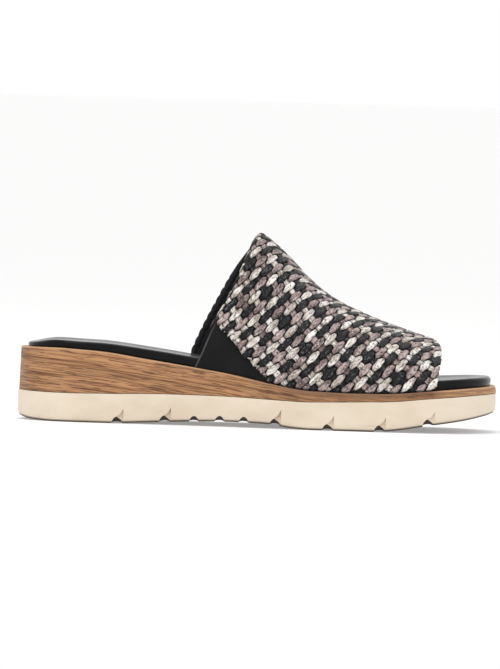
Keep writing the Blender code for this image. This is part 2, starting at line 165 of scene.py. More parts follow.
# Lifts and thicknesses of the sole's layers, in shares of their named sizes
LAYERS = Table(
    ("share", "spring", "waist", "outsole", "wedge", "insole"),
    (
        (0.000, 0.20, 0.00, 0.85, 0.945, 0.32),
        (0.030, 0.06, 0.00, 0.92, 0.968, 0.46),
        (0.080, 0.00, 0.00, 0.95, 0.982, 0.76),
        (0.120, 0.00, 0.00, 0.95, 0.965, 0.76),
        (0.190, 0.00, 0.00, 0.97, 0.898, 0.85),
        (0.260, 0.00, 0.30, 0.95, 0.768, 0.96),
        (0.360, 0.00, 0.78, 0.88, 0.608, 1.00),
        (0.440, 0.00, 1.00, 0.83, 0.490, 1.00),
        (0.520, 0.00, 0.85, 0.81, 0.350, 1.00),
        (0.570, 0.00, 0.25, 0.88, 0.275, 1.00),
        (0.610, 0.00, 0.00, 0.91, 0.235, 1.00),
        (0.690, 0.00, 0.00, 0.95, 0.185, 1.00),
        (0.745, 0.00, 0.00, 0.98, 0.168, 1.00),
        (0.790, 0.10, 0.00, 0.95, 0.163, 1.00),
        (0.850, 0.34, 0.00, 0.89, 0.156, 1.00),
        (0.930, 0.64, 0.00, 0.80, 0.154, 0.97),
        (1.000, 1.00, 0.00, 0.65, 0.150, 0.94),
    ),
)

# Rise of the upper's ridge in shares of the instep's rise, and its shift in shares of the ball width
UPPER = Table(
    ("share", "rise", "ridge"),
    (
        (0.320, 1.232, 0.085),
        (0.420, 1.116, 0.085),
        (0.500, 0.996, 0.088),
        (0.535, 0.930, 0.090),
        (0.563, 0.860, 0.092),
        (0.591, 0.777, 0.095),
        (0.618, 0.703, 0.098),
        (0.652, 0.626, 0.102),
        (0.720, 0.520, 0.108),
        (0.787, 0.434, 0.112),
        (0.855, 0.342, 0.114),
        (0.920, 0.268, 0.114),
    ),
)

# Edges of the upper: share of the way up a side, then places along the length on both sides
EDGES = Table(
    ("share", "collar_lateral", "collar_medial", "toe_lateral", "toe_medial"),
    (
        (0.00, 0.3700, 0.3515, 0.8650, 0.8660),
        (0.08, 0.3840, 0.3605, 0.8690, 0.8700),
        (0.17, 0.3975, 0.3740, 0.8720, 0.8730),
        (0.25, 0.4105, 0.3865, 0.8745, 0.8755),
        (0.37, 0.4340, 0.4065, 0.8770, 0.8775),
        (0.48, 0.4515, 0.4245, 0.8770, 0.8775),
        (0.60, 0.4675, 0.4440, 0.8755, 0.8760),
        (0.80, 0.4890, 0.4790, 0.8705, 0.8705),
        (1.00, 0.5045, 0.5045, 0.8640, 0.8640),
    ),
)

# Channels across the tread, and whether a scoop rises over each
CHANNELS = Table(
    ("share", "scooped"),
    (
        (0.210, 1),
        (0.309, 1),
        (0.370, 0),
        (0.423, 0),
        (0.473, 0),
        (0.538, 1),
        (0.648, 1),
        (0.756, 1),
        (0.857, 1),
    ),
)

# Distance round the shoe, the same on the unstretched cloth, and how far the cloth widens along the shoe
CLOTH = Table(
    ("around", "flat", "widen"),
    (
        (-0.020, -0.0200, 1.00),
        (0.000, 0.0000, 1.00),
        (0.030, 0.0283, 1.12),
        (0.060, 0.0532, 1.25),
        (0.090, 0.0765, 1.34),
        (0.130, 0.1110, 1.28),
        (0.180, 0.1590, 1.10),
        (0.240, 0.2190, 1.00),
    ),
)


@dataclass
class SoleForm:
    """Layers and outline of the sole, measured from the back of the heel, in metres."""

    length: float = 0.256
    ball_width: float = 0.092
    heel_round: float = 0.034
    toe_round: float = 0.038
    heel_blunt: float = 2.1
    toe_blunt: float = 2.35
    end_flat: float = 0.004
    toe_spring: float = 0.0108
    waist_lift: float = 0.0027
    outsole_thickness: float = 0.0162
    wedge_thickness: float = 0.0240
    wedge_inset: float = 0.0005
    wedge_lean: float = 0.0006
    insole_thickness: float = 0.0052
    gap: float = 0.0003
    heel_rest: float = 0.032

    def ground(self, x: Array) -> Array:
        """Height of the outsole's underside above the floor."""
        share = x / self.length
        return self.toe_spring * LAYERS.read("spring", share) + self.waist_lift * LAYERS.read("waist", share)

    def outsole_top(self, x: Array) -> Array:
        """Height of the outsole's upper face."""
        return self.ground(x) + self.outsole_thickness * LAYERS.read("outsole", x / self.length)

    def wedge_foot(self, x: Array) -> Array:
        """Height of the wedge's underside."""
        return self.outsole_top(x) + self.gap

    def wedge_top(self, x: Array) -> Array:
        """Height of the wedge's upper face, on which insole and upper stand."""
        return self.wedge_foot(x) + self.wedge_thickness * LAYERS.read("wedge", x / self.length)

    def insole_foot(self, x: Array) -> Array:
        """Height of the insole's underside."""
        return self.wedge_top(x) + self.gap

    def insole_top(self, x: Array) -> Array:
        """Height of the insole's upper face, before its edge is rounded."""
        return self.insole_foot(x) + self.insole_thickness * LAYERS.read("insole", x / self.length)

    def end_width(self, distance: Array, reach: float, power: float) -> Array:
        """Share of the full width at a distance from an end.

        Args:
            distance: Distance from the end.
            reach: Length over which the end is rounded.
            power: Bluntness of the rounding.

        Returns:
            One share for each distance.
        """
        inward = np.clip((reach - distance) / (reach * (1 + self.end_flat)), 0, 1)
        return (1 - inward**power) ** (1 / power)

    def sides(self, x: Array) -> tuple[Array, Array]:
        """Lateral and medial side, as y, at distances from the back of the heel."""
        lateral = -self.ball_width * OUTLINE.read("lateral", x / self.length)
        medial = self.ball_width * OUTLINE.read("medial", x / self.length)
        heel = self.end_width(x, self.heel_round, self.heel_blunt)
        toe = self.end_width(self.length - x, self.toe_round, self.toe_blunt)
        width = np.minimum(heel, toe)
        middle = (lateral + medial) / 2
        return middle + (lateral - middle) * width, middle + (medial - middle) * width

    def outline(self, count: int, inset: float) -> Array:
        """Outline drawn in by an inset.

        Args:
            count: Stations along each side.
            inset: Distance by which the outline is drawn in.

        Returns:
            Points forward along the lateral side and back along the medial one.
        """
        x = (1 - np.cos(np.linspace(0, math.pi, count))) / 2 * self.length
        lateral, medial = self.sides(x)
        loop = np.concatenate((np.stack((x, lateral), 1), np.stack((x, medial), 1)[::-1]))
        along = np.roll(loop, -1, 0) - np.roll(loop, 1, 0)
        inward = np.stack((-along[:, 1], along[:, 0]), 1)
        return loop + unit(inward) * inset

    def ring(self, count: int, inset: float, height) -> Array:
        """Outline drawn in by an inset and lifted to a height function of the distance from the heel."""
        flat = self.outline(count, inset)
        return np.column_stack((flat, height(flat[:, 0])))

    def reached(self, points: Array, start: float, reach: float) -> Array:
        """Points drawn towards the toe.

        Args:
            points: Points measured from the back of the heel.
            start: Share of the length from which they are drawn.
            reach: Distance by which the foremost ones move.

        Returns:
            The moved points.
        """
        share = np.clip((points[:, 0] / self.length - start) / (1 - start), 0, 1)
        moved = points.copy()
        moved[:, 0] += reach * eased(share)
        return moved

    def in_frame(self, points: Array) -> Array:
        """Points measured from the back of the heel, in the shoe's frame."""
        return points - np.array((self.heel_rest, 0.0, 0.0))


@dataclass
class UpperForm:
    """Face of the upper, laid flat: distance along the shoe, and distance round it from the lateral foot."""

    sole: SoleForm
    instep_rise: float = 0.0775
    wall: float = 0.0018
    relief: float = 0.0009
    shoulder: float = 0.86
    crown: float = 0.84
    gusset_foot: float = 0.041
    gusset_top: float = 0.25
    ridge_step: int = 80
    cell: float = 0.001
    first_x: float = 0.076
    last_x: float = 0.238
    spare_round: float = 0.014
    slack: float = 0.001
    round_stations: int = 60
    edge_steps: int = 25

    @property
    def inset(self) -> float:
        """Distance from the sole's side to the upper's face."""
        return self.sole.wedge_inset + self.sole.wedge_lean * 2 + self.relief

    def arch(self, x: float) -> tuple[Array, Array, Array]:
        """Section of the upper.

        Args:
            x: Distance from the back of the heel.

        Returns:
            The section's y, its z and the distance round it, from the lateral foot to the medial one.
        """
        lateral, medial = (float(side) for side in self.sole.sides(np.array(x)))
        lateral += self.inset
        medial -= self.inset
        share = x / self.sole.length
        foot = float(self.sole.wedge_top(np.array(x))) + self.sole.gap
        rise = self.instep_rise * float(UPPER.read("rise", share))
        ridge = (lateral + medial) / 2 + self.sole.ball_width * float(UPPER.read("ridge", share))
        angles = np.linspace(0, math.pi, 2 * self.ridge_step + 1)
        across = blunted(np.cos(angles), self.shoulder)
        reach = np.where(across > 0, ridge - lateral, medial - ridge)
        y = ridge - across * reach
        z = foot + rise * np.maximum(np.sin(angles), 0) ** self.crown
        return y, z, np.concatenate(([0.0], np.cumsum(np.hypot(np.diff(y), np.diff(z)))))

    @cached_property
    def grid(self) -> tuple[Array, Array, Array, Array]:
        """Places along and round the upper, with the face's point and normal at each crossing of the two."""
        along = np.arange(self.first_x, self.last_x, self.cell)
        longest = max(self.arch(x)[2][-1] for x in (self.first_x, self.last_x))
        around = np.arange(-self.spare_round, longest + self.spare_round, self.cell)
        points = np.zeros((len(along), len(around), 3))
        for k, x in enumerate(along):
            y, z, distance = self.arch(x)
            past = np.maximum(0, -around) + np.maximum(0, around - distance[-1])
            points[k, :, 0] = x
            points[k, :, 1] = np.interp(around, distance, y)
            points[k, :, 2] = np.interp(around, distance, z) - past
        normals = np.cross(np.gradient(points, axis=0), np.gradient(points, axis=1))
        return along, around, points, unit(normals)

    def _look_up(self, layer: Array, x: Array, around: Array) -> Array:
        """Values of a grid layer between its crossings."""
        along_grid, around_grid = self.grid[:2]
        u = np.clip((x - along_grid[0]) / self.cell, 0, len(along_grid) - 1 - self.slack)
        v = np.clip((around - around_grid[0]) / self.cell, 0, len(around_grid) - 1 - self.slack)
        i, j = u.astype(int), v.astype(int)
        u, v = (u - i)[:, None], (v - j)[:, None]
        low = layer[i, j] * (1 - v) + layer[i, j + 1] * v
        high = layer[i + 1, j] * (1 - v) + layer[i + 1, j + 1] * v
        return low * (1 - u) + high * u

    def face(self, x: Array, around: Array) -> tuple[Array, Array]:
        """Points on the upper's face and its outward normals there."""
        points, normals = (self._look_up(layer, x, around) for layer in self.grid[2:])
        return points, unit(normals)

    def place(self, x: Array, around: Array, height: Array | float) -> Array:
        """Points a height over the upper's face."""
        points, normals = self.face(x, around)
        return points + normals * np.broadcast_to(np.asarray(height, float), (len(x),))[:, None]

    def lay(self, piece: bpy.types.Object, x: Array, around: Array, height: Array | float) -> None:
        """Put every vertex of a piece a height over the upper's face, in the shoe's frame."""
        Bench.move(piece, self.sole.in_frame(self.place(x, around, height)))

    def total_round(self, x: Array) -> Array:
        """Distance round the upper to its medial foot."""
        stations = np.linspace(self.first_x, self.last_x, self.round_stations)
        return np.interp(x, stations, [self.arch(station)[2][-1] for station in stations])

    def round_length(self, x: float, share: float, side: str) -> float:
        """Distance round the upper to a share of the way up one side, from the lateral foot."""
        distance = self.arch(x)[2]
        ridge = distance[self.ridge_step]
        if side == "lateral":
            return ridge * share
        return distance[-1] - (distance[-1] - ridge) * share

    @cached_property
    def edges(self) -> dict[Edge, Array]:
        """Both turned edges laid flat: distances round the upper and the place along the shoe at each."""
        lines = {}
        for edge in Edge:
            rows = []
            for side in ("lateral", "medial"):
                for share in np.linspace(0, 1, self.edge_steps):
                    x = self.sole.length * float(EDGES.read(f"{edge.value}_{side}", share))
                    rows.append((self.round_length(x, share, side), x))
            lines[edge] = np.array(sorted(rows))
        return lines

    def edge_x(self, edge: Edge, around: Array) -> Array:
        """Place of an edge along the shoe, at distances round the upper."""
        rows = self.edges[edge]
        return np.interp(around, rows[:, 0], rows[:, 1])

    @cached_property
    def collar_ridge(self) -> float:
        """Distance round the upper from the lateral foot to the collar's peak."""
        rows = self.edges[Edge.COLLAR]
        return float(rows[np.argmax(rows[:, 1]), 0])

    @cached_property
    def seam(self) -> tuple[Array, Array, Array]:
        """Line between weave and gusset, laid flat: its foot, its top and the direction to the weave."""
        top_x = self.sole.length * float(EDGES.read("collar_lateral", self.gusset_top))
        top = np.array((top_x, self.round_length(top_x, self.gusset_top, "lateral")))
        foot = np.array((self.sole.length * float(EDGES.read("collar_lateral", 0.0)) + self.gusset_foot, 0.0))
        along = (foot - top) / np.linalg.norm(foot - top)
        return foot, top, np.array((-along[1], along[0]))

    def seam_distance(self, x: Array, around: Array) -> Array:
        """Distance from the gusset's seam, positive on the weave's side."""
        foot, _, towards = self.seam
        return (x - foot[0]) * towards[0] + (around - foot[1]) * towards[1]

    def seam_x(self, around: Array) -> Array:
        """Place of the gusset's seam along the shoe, at distances round the upper."""
        foot, top, _ = self.seam
        return foot[0] + (top[0] - foot[0]) * around / top[1]


class Bench:
    """Modelling steps that the pieces share."""

    @staticmethod
    def clear_selection() -> None:
        """Leave edit mode and deselect everything."""
        if bpy.context.object and bpy.context.object.mode != "OBJECT":
            bpy.ops.object.mode_set(mode="OBJECT")
        bpy.ops.object.select_all(action="DESELECT")

    @staticmethod
    def pick(*pieces: bpy.types.Object) -> None:
        """Select pieces alone, the first of them active."""
        Bench.clear_selection()
        for piece in pieces:
            piece.select_set(True)
        bpy.context.view_layer.objects.active = pieces[0]

    @staticmethod
    def take(name: str) -> bpy.types.Object:
        """Name the primitive that was just added, and its mesh."""
        piece = bpy.context.object
        piece.name = name
        piece.data.name = name
        return piece

    @staticmethod
    def apply(piece: bpy.types.Object, kind: str, **settings) -> None:
        """Add a modifier with its settings and apply it."""
        Bench.pick(piece)
        modifier = piece.modifiers.new(kind.lower(), kind)
        for name, value in settings.items():
            setattr(modifier, name, value)
        bpy.ops.object.modifier_apply(modifier=modifier.name)

    @staticmethod
    def coordinates(piece: bpy.types.Object) -> Array:
        """Every vertex of a piece, in its own coordinates."""
        points = np.zeros(len(piece.data.vertices) * 3)
        piece.data.vertices.foreach_get("co", points)
        return points.reshape(-1, 3)

    @staticmethod
    def move(piece: bpy.types.Object, points: Array) -> None:
        """Put every vertex of a piece at its new point."""
        piece.data.vertices.foreach_set("co", np.ascontiguousarray(points, np.float32).ravel())
        piece.data.update()

    @staticmethod
    def mark(piece: bpy.types.Object, name: str, vectors: Array) -> None:
        """Store a vector with each vertex, for the materials to read."""
        layer = piece.data.attributes.new(name, "FLOAT_VECTOR", "POINT")
        layer.data.foreach_set("vector", np.ascontiguousarray(vectors, np.float32).ravel())

    @staticmethod
    def smooth(piece: bpy.types.Object, crease: float) -> None:
        """Shade a piece smooth, up to a crease's angle in degrees between its faces."""
        Bench.pick(piece)
        bpy.ops.object.shade_smooth_by_angle(angle=math.radians(crease))

    @staticmethod
    def join(pieces: list[bpy.types.Object], name: str) -> bpy.types.Object:
        """Join pieces into the first of them."""
        Bench.pick(*pieces)
        bpy.ops.object.join()
        return Bench.take(name)

    @staticmethod
    def layered(name: str, rings: list[Array], cuts: int) -> bpy.types.Object:
        """Closed piece between rings of the sole's outline.

        Args:
            name: Name of the piece.
            rings: Rings of equal count, lowest first, each forward along one side and back along the other.
            cuts: Edge rows across the upper face.

        Returns:
            The piece, with its place in its mesh.
        """
        around = len(rings[0])
        Bench.clear_selection()
        bpy.ops.mesh.primitive_circle_add(vertices=around, radius=1.0)
        piece = Bench.take(name)
        bpy.ops.object.mode_set(mode="EDIT")
        bpy.ops.mesh.select_mode(type="VERT")
        shape = bmesh.from_edit_mesh(piece.data)
        shape.verts.layers.int.new("place")
        shape.verts.layers.int.new("level")
        place = shape.verts.layers.int["place"]
        for k, vert in enumerate(shape.verts):
            vert[place] = k
        for number, ring in enumerate(rings):
            if number:
                bpy.ops.mesh.extrude_region_move()
            shape = bmesh.from_edit_mesh(piece.data)
            place = shape.verts.layers.int["place"]
            level = shape.verts.layers.int["level"]
            for vert in shape.verts:
                if vert.select:
                    vert.co = ring[vert[place]]
                    vert[level] = number
            bmesh.update_edit_mesh(piece.data)
        Bench._cap(piece, around, 0, 0)
        Bench._cap(piece, around, len(rings) - 1, cuts)
        bpy.ops.mesh.select_all(action="SELECT")
        bpy.ops.mesh.normals_make_consistent(inside=False)
        bpy.ops.object.mode_set(mode="OBJECT")
        return piece

    @staticmethod
    def _cap(piece: bpy.types.Object, around: int, number: int, cuts: int) -> None:
        """Close one ring of a layered piece by bridging its two sides."""
        bpy.ops.mesh.select_all(action="DESELECT")
        bpy.ops.mesh.select_mode(type="EDGE")
        shape = bmesh.from_edit_mesh(piece.data)
        place = shape.verts.layers.int["place"]
        level = shape.verts.layers.int["level"]
        for edge in shape.edges:
            ends = sorted(vert[place] for vert in edge.verts)
            on_ring = all(vert[level] == number for vert in edge.verts)
            across = ends in ([0, around - 1], [around // 2 - 1, around // 2])
            if on_ring and not across:
                edge.select_set(True)
        bmesh.update_edit_mesh(piece.data)
        bpy.ops.mesh.bridge_edge_loops(number_cuts=cuts, interpolation="LINEAR")
        bpy.ops.mesh.select_mode(type="VERT")

    @staticmethod
    def tube(name: str, around: int, stations: int) -> bpy.types.Object:
        """Closed tube of unit radius and length along Z, with a ring of vertices at each station."""
        Bench.clear_selection()
        bpy.ops.mesh.primitive_cylinder_add(vertices=around, radius=1.0, depth=1.0, end_fill_type="NGON")
        piece = Bench.take(name)
        bpy.ops.object.mode_set(mode="EDIT")
        bpy.ops.mesh.select_all(action="DESELECT")
        bpy.ops.mesh.select_mode(type="EDGE")
        shape = bmesh.from_edit_mesh(piece.data)
        for edge in shape.edges:
            edge.select_set(abs(edge.verts[0].co.z - edge.verts[1].co.z) > 0.5)
        bmesh.update_edit_mesh(piece.data)
        bpy.ops.mesh.subdivide(number_cuts=max(1, stations - 2))
        bpy.ops.mesh.select_mode(type="VERT")
        bpy.ops.object.mode_set(mode="OBJECT")
        return piece

    @staticmethod
    def sheet(name: str, along: int, across: int) -> tuple[bpy.types.Object, Array, Array]:
        """Flat grid, with the share along and across of each of its vertices."""
        Bench.clear_selection()
        bpy.ops.mesh.primitive_grid_add(x_subdivisions=along, y_subdivisions=across, size=1.0)
        piece = Bench.take(name)
        points = Bench.coordinates(piece)
        return piece, points[:, 0] + 0.5, points[:, 1] + 0.5


@dataclass(frozen=True)
class Noise:
    """Soft noise: its cells to a unit of each axis, its levels of detail and the weight of the finer ones."""

    cells: Triple
    detail: float = 2.0
    rough: float = 0.5


class Signal:
    """Number that changes over a surface: a socket on which Python's operators add Math nodes."""

    def __init__(self, palette: "Palette", socket: bpy.types.NodeSocket) -> None:
        """Wrap a socket of a palette's tree."""
        self.palette = palette
        self.socket = socket

    def _with(self, operation: str, first: object, second: object) -> "Signal":
        """Result of one Math node."""
        made = self.palette.node("ShaderNodeMath", {"operation": operation}, {0: first, 1: second})
        return Signal(self.palette, made.outputs[0])

    def __add__(self, other: object) -> "Signal":
        """Sum."""
        return self._with("ADD", self, other)

    def __radd__(self, other: object) -> "Signal":
        """Sum, reflected."""
        return self._with("ADD", other, self)

    def __sub__(self, other: object) -> "Signal":
        """Difference."""
        return self._with("SUBTRACT", self, other)

    def __rsub__(self, other: object) -> "Signal":
        """Difference, reflected."""
        return self._with("SUBTRACT", other, self)

    def __mul__(self, other: object) -> "Signal":
        """Product."""
        return self._with("MULTIPLY", self, other)

    def __rmul__(self, other: object) -> "Signal":
        """Product, reflected."""
        return self._with("MULTIPLY", other, self)

    def step(self, low: float, high: float) -> "Signal":
        """Smooth step from 0 at the low value to 1 at the high one."""
        values = {"Value": self, "From Min": low, "From Max": high, "To Min": 0.0, "To Max": 1.0}
        made = self.palette.node("ShaderNodeMapRange", {"interpolation_type": "SMOOTHSTEP"}, values)
        return Signal(self.palette, made.outputs[0])


class Palette:
    """Node tree of one material."""

    MIX_FACTOR, MIX_FIRST, MIX_SECOND, MIX_RESULT = 0, 6, 7, 2

    def __init__(self, name: str) -> None:
        """Start a material on a plain Principled BSDF."""
        self.material = bpy.data.materials.new(name)
        self.material.use_nodes = True
        self.tree = self.material.node_tree
        self.shader = self.tree.nodes["Principled BSDF"]

    def node(self, kind: str, settings: dict | None = None, values: dict | None = None) -> bpy.types.Node:
        """Add a node.

        Args:
            kind: Type of the node.
            settings: Its settings, such as an operation, or the stops of a ramp, which are set first.
            values: Values, sockets or signals for its inputs, by name or number.

        Returns:
            The node.
        """
        made = self.tree.nodes.new(kind)
        for name, value in (settings or {}).items():
            if name == "stops":
                for stop, (position, colour) in zip(made.color_ramp.elements, value):
                    stop.position = position
                    stop.color = colour
            else:
                setattr(made, name, value)
        for name, value in (values or {}).items():
            self.feed(made.inputs[name], value)
        return made

    def feed(self, target: bpy.types.NodeSocket, value: object) -> None:
        """Link a socket or signal to an input, or set its value."""
        source = value.socket if isinstance(value, Signal) else value
        if isinstance(source, bpy.types.NodeSocket):
            self.tree.links.new(source, target)
        else:
            target.default_value = source

    def place(self, scale: Triple, attribute: str | None = None) -> bpy.types.NodeSocket:
        """Coordinates to paint by: the object's own, or an attribute, each axis times its scale."""
        if attribute:
            source = self.node("ShaderNodeAttribute", {"attribute_name": attribute}).outputs["Vector"]
        else:
            source = self.node("ShaderNodeTexCoord").outputs["Object"]
        return self.node("ShaderNodeVectorMath", {"operation": "MULTIPLY"}, {0: source, 1: scale}).outputs[0]

    def axes(self, attribute: str | None = None) -> list[Signal]:
        """X, Y and Z of the object's own coordinates, or of an attribute."""
        place = self.place((1.0, 1.0, 1.0), attribute)
        split = self.node("ShaderNodeSeparateXYZ", {}, {"Vector": place})
        return [Signal(self, axis) for axis in split.outputs]

    def noise(self, noise: Noise, attribute: str | None = None) -> Signal:
        """Noise over the object's own coordinates, or over an attribute."""
        place = self.place(noise.cells, attribute)
        values = {"Vector": place, "Scale": 1.0, "Detail": noise.detail, "Roughness": noise.rough}
        return Signal(self, self.node("ShaderNodeTexNoise", {}, values).outputs[0])

    def cells(self, fineness: float) -> Signal:
        """Distance to the nearest of scattered points, so many to a metre."""
        values = {"Vector": self.place((fineness, fineness, fineness)), "Scale": 1.0}
        return Signal(self, self.node("ShaderNodeTexVoronoi", {}, values).outputs["Distance"])

    def blend(self, factor: Signal, first: object, second: object) -> bpy.types.NodeSocket:
        """Mix of two colours, the second at a factor of 1."""
        values = {self.MIX_FACTOR: factor, self.MIX_FIRST: first, self.MIX_SECOND: second}
        made = self.node("ShaderNodeMix", {"data_type": "RGBA", "clamp_factor": True}, values)
        return made.outputs[self.MIX_RESULT]

    def relief(self, height: Signal, distance: float, strength: float = 1.0) -> bpy.types.NodeSocket:
        """Normal bent by a height, whose full range stands for the distance."""
        values = {"Height": height, "Distance": distance, "Strength": strength}
        return self.node("ShaderNodeBump", {}, values).outputs["Normal"]

    def finish(self, **inputs: object) -> bpy.types.Material:
        """Set or link the shader's inputs, by their names with underscores for spaces."""
        for name, value in inputs.items():
            words = name.replace("_", " ").split()
            words = [word.upper() if word == "ior" else word.capitalize() for word in words]
            self.feed(self.shader.inputs[" ".join(words)], value)
        return self.material


@dataclass(frozen=True)
class StripFinish:
    """Woven strip of one tone: streaked lengthwise, speckled, with painted shade at its edges and where it
    dives.
    """

    tone: Tone
    light: Colour
    deep: Colour
    speck: Colour
    speck_share: float
    fleck: Colour
    fleck_share: float
    roughness: float
    gloss: float
    # Painted shade: dark colour laid on the strips' edges, their dives and the weave's foot
    painted_shade: Colour = paint(15, 14, 14)
    streaks: Noise = Noise((200.0, 4.5, 61.0), 3.0, 0.7)
    drift: Noise = Noise((90.0, 0.3, 19.0), 1.0)
    grain: Noise = Noise((1100.0, 5.2, 37.0), 2.0, 0.6)
    specks: Noise = Noise((620.0, 2.2, 83.0), 3.0, 0.6)
    flecks: Noise = Noise((560.0, 2.6, 29.0), 3.0, 0.6)
    shade_weight: float = 0.7
    shade_span: Span = (0.56, 0.86)
    speck_span: Span = (0.54, 0.62)
    fleck_span: Span = (0.57, 0.66)
    side_span: Span = (0.66, 1.0)
    side_shade: float = 0.85
    dive_span: Span = (0.25, 0.85)
    dive_shade: float = 0.9
    unevenness: float = 0.25
    streak_relief: float = 0.6
    fine_relief: float = 0.4
    relief: float = 0.0010

    def dress(self) -> bpy.types.Material:
        """Build the material.

        It reads two attributes: strip holds the distance along in metres, the place across from -1 to 1 and a
        seed, and lie holds the painted shade from the strip's dive and along the weave's foot, and how near
        its edge is, each from 0 to 1.

        Returns:
            The material.
        """
        palette = Palette(f"strip_{self.tone.value}")
        noises = (self.streaks, self.drift, self.grain, self.specks, self.flecks)
        streak, drift, fine, speck, fleck = (palette.noise(noise, "strip") for noise in noises)
        dive, side, _ = palette.axes("lie")
        shade = (streak * self.shade_weight + drift * self.shade_weight).step(*self.shade_span)
        colour = palette.blend(shade, self.light, self.deep)
        spots = speck.step(*self.speck_span) * self.speck_share
        colour = palette.blend(spots, colour, self.speck)
        colour = palette.blend(fleck.step(*self.fleck_span) * self.fleck_share, colour, self.fleck)
        # Painted shade at the strips' edges, where they dive under the crossing strips and along the weave's
        # foot
        shadow = side.step(*self.side_span) * self.side_shade + dive.step(*self.dive_span) * self.dive_shade
        height = streak * self.streak_relief + fine * self.fine_relief - spots * self.fine_relief
        return palette.finish(
            base_color=palette.blend(shadow, colour, self.painted_shade),
            roughness=self.roughness + (fine - MEAN) * self.unevenness,
            normal=palette.relief(height, self.relief),
            specular_ior_level=self.gloss,
        )


@dataclass(frozen=True)
class LeatherFinish:
    """Leather with a fine pebble and faint clouding."""

    name: str
    colour: Colour
    bloom: Colour
    roughness: float
    pebble: float
    gloss: float = 0.3
    sheen: float = 0.0
    sheen_roughness: float = 0.35
    pebbles: float = 1300.0
    pebble_strength: float = 0.6
    clouds: Noise = Noise((60.0, 60.0, 60.0), 3.0, 0.6)
    cloud_span: Span = (0.42, 0.78)
    unevenness: float = 0.18

    def dress(self) -> bpy.types.Material:
        """Build the material on the object's own coordinates, in metres."""
        palette = Palette(self.name)
        cloud = palette.noise(self.clouds)
        return palette.finish(
            base_color=palette.blend(cloud.step(*self.cloud_span), self.colour, self.bloom),
            roughness=self.roughness + (cloud - MEAN) * self.unevenness,
            normal=palette.relief(palette.cells(self.pebbles), self.pebble, self.pebble_strength),
            specular_ior_level=self.gloss,
            sheen_weight=self.sheen,
            sheen_roughness=self.sheen_roughness,
        )


@dataclass(frozen=True)
class WoodFinish:
    """Wood-look wrap: fine grain, short dark pores, a light top edge, painted shade under the upper and
    painted light on the toe end.
    """

    light: Colour = paint(180, 134, 93)
    deep: Colour = paint(116, 78, 50)
    pore: Colour = paint(82, 50, 36)
    edge: Colour = paint(190, 150, 114)
    shade: Colour = paint(78, 54, 40)
    bands: Noise = Noise((14.0, 14.0, 620.0), 4.0, 0.62)
    lines: Noise = Noise((34.0, 34.0, 1500.0), 3.0, 0.6)
    pores: Noise = Noise((110.0, 110.0, 2000.0))
    band_weight: float = 0.5
    line_weight: float = 0.65
    grain_span: Span = (0.47, 0.70)
    pore_span: Span = (0.55, 0.64)
    pore_share: float = 0.8
    edge_span: Span = (0.00042, 0.00098)
    edge_share: float = 0.7
    shade_start: Span = (0.080, 0.120)
    shade_end: Span = (0.188, 0.196)
    shade_depth: float = 0.0045
    shade_share: float = 0.30
    shade_rise: float = 0.35
    # Painted light on the toe end, out from under the upper
    lit_tip_span: Span = (0.186, 0.200)
    lit_tip_share: float = 0.28
    roughness: float = 0.46
    unevenness: float = 0.2
    relief_weight: float = 0.5
    relief: float = 0.00018
    relief_strength: float = 0.7
    coat: float = 0.08
    coat_roughness: float = 0.3
    gloss: float = 0.25

    def dress(self) -> bpy.types.Material:
        """Build the material on two attributes: grain, along which it streaks, and wall, x and depth."""
        palette = Palette("wood_wrap")
        noises = (self.bands, self.lines, self.pores)
        bands, lines, pores = (palette.noise(noise, "grain") for noise in noises)
        along, depth, _ = palette.axes("wall")
        grain = (bands * self.band_weight + lines * self.line_weight).step(*self.grain_span)
        colour = palette.blend(grain, self.light, self.deep)
        dashes = pores.step(*self.pore_span) * self.pore_share
        colour = palette.blend(dashes, colour, self.pore)
        rim = 1 - depth.step(*self.edge_span)
        colour = palette.blend(rim * self.edge_share, colour, self.edge)
        covered = along.step(*self.shade_start) * (1 - along.step(*self.shade_end))
        near = 1 - depth.step(0.0, self.shade_depth)
        colour = palette.blend(covered * (self.shade_share + near * self.shade_rise), colour, self.shade)
        # Painted light on the toe end, where the wedge stands out from under the upper
        colour = palette.blend(along.step(*self.lit_tip_span) * self.lit_tip_share, colour, self.edge)
        height = lines * self.relief_weight - dashes * self.relief_weight
        return palette.finish(
            base_color=colour,
            roughness=self.roughness + lines * self.unevenness,
            normal=palette.relief(height, self.relief, self.relief_strength),
            coat_weight=self.coat,
            coat_roughness=self.coat_roughness,
            specular_ior_level=self.gloss,
        )


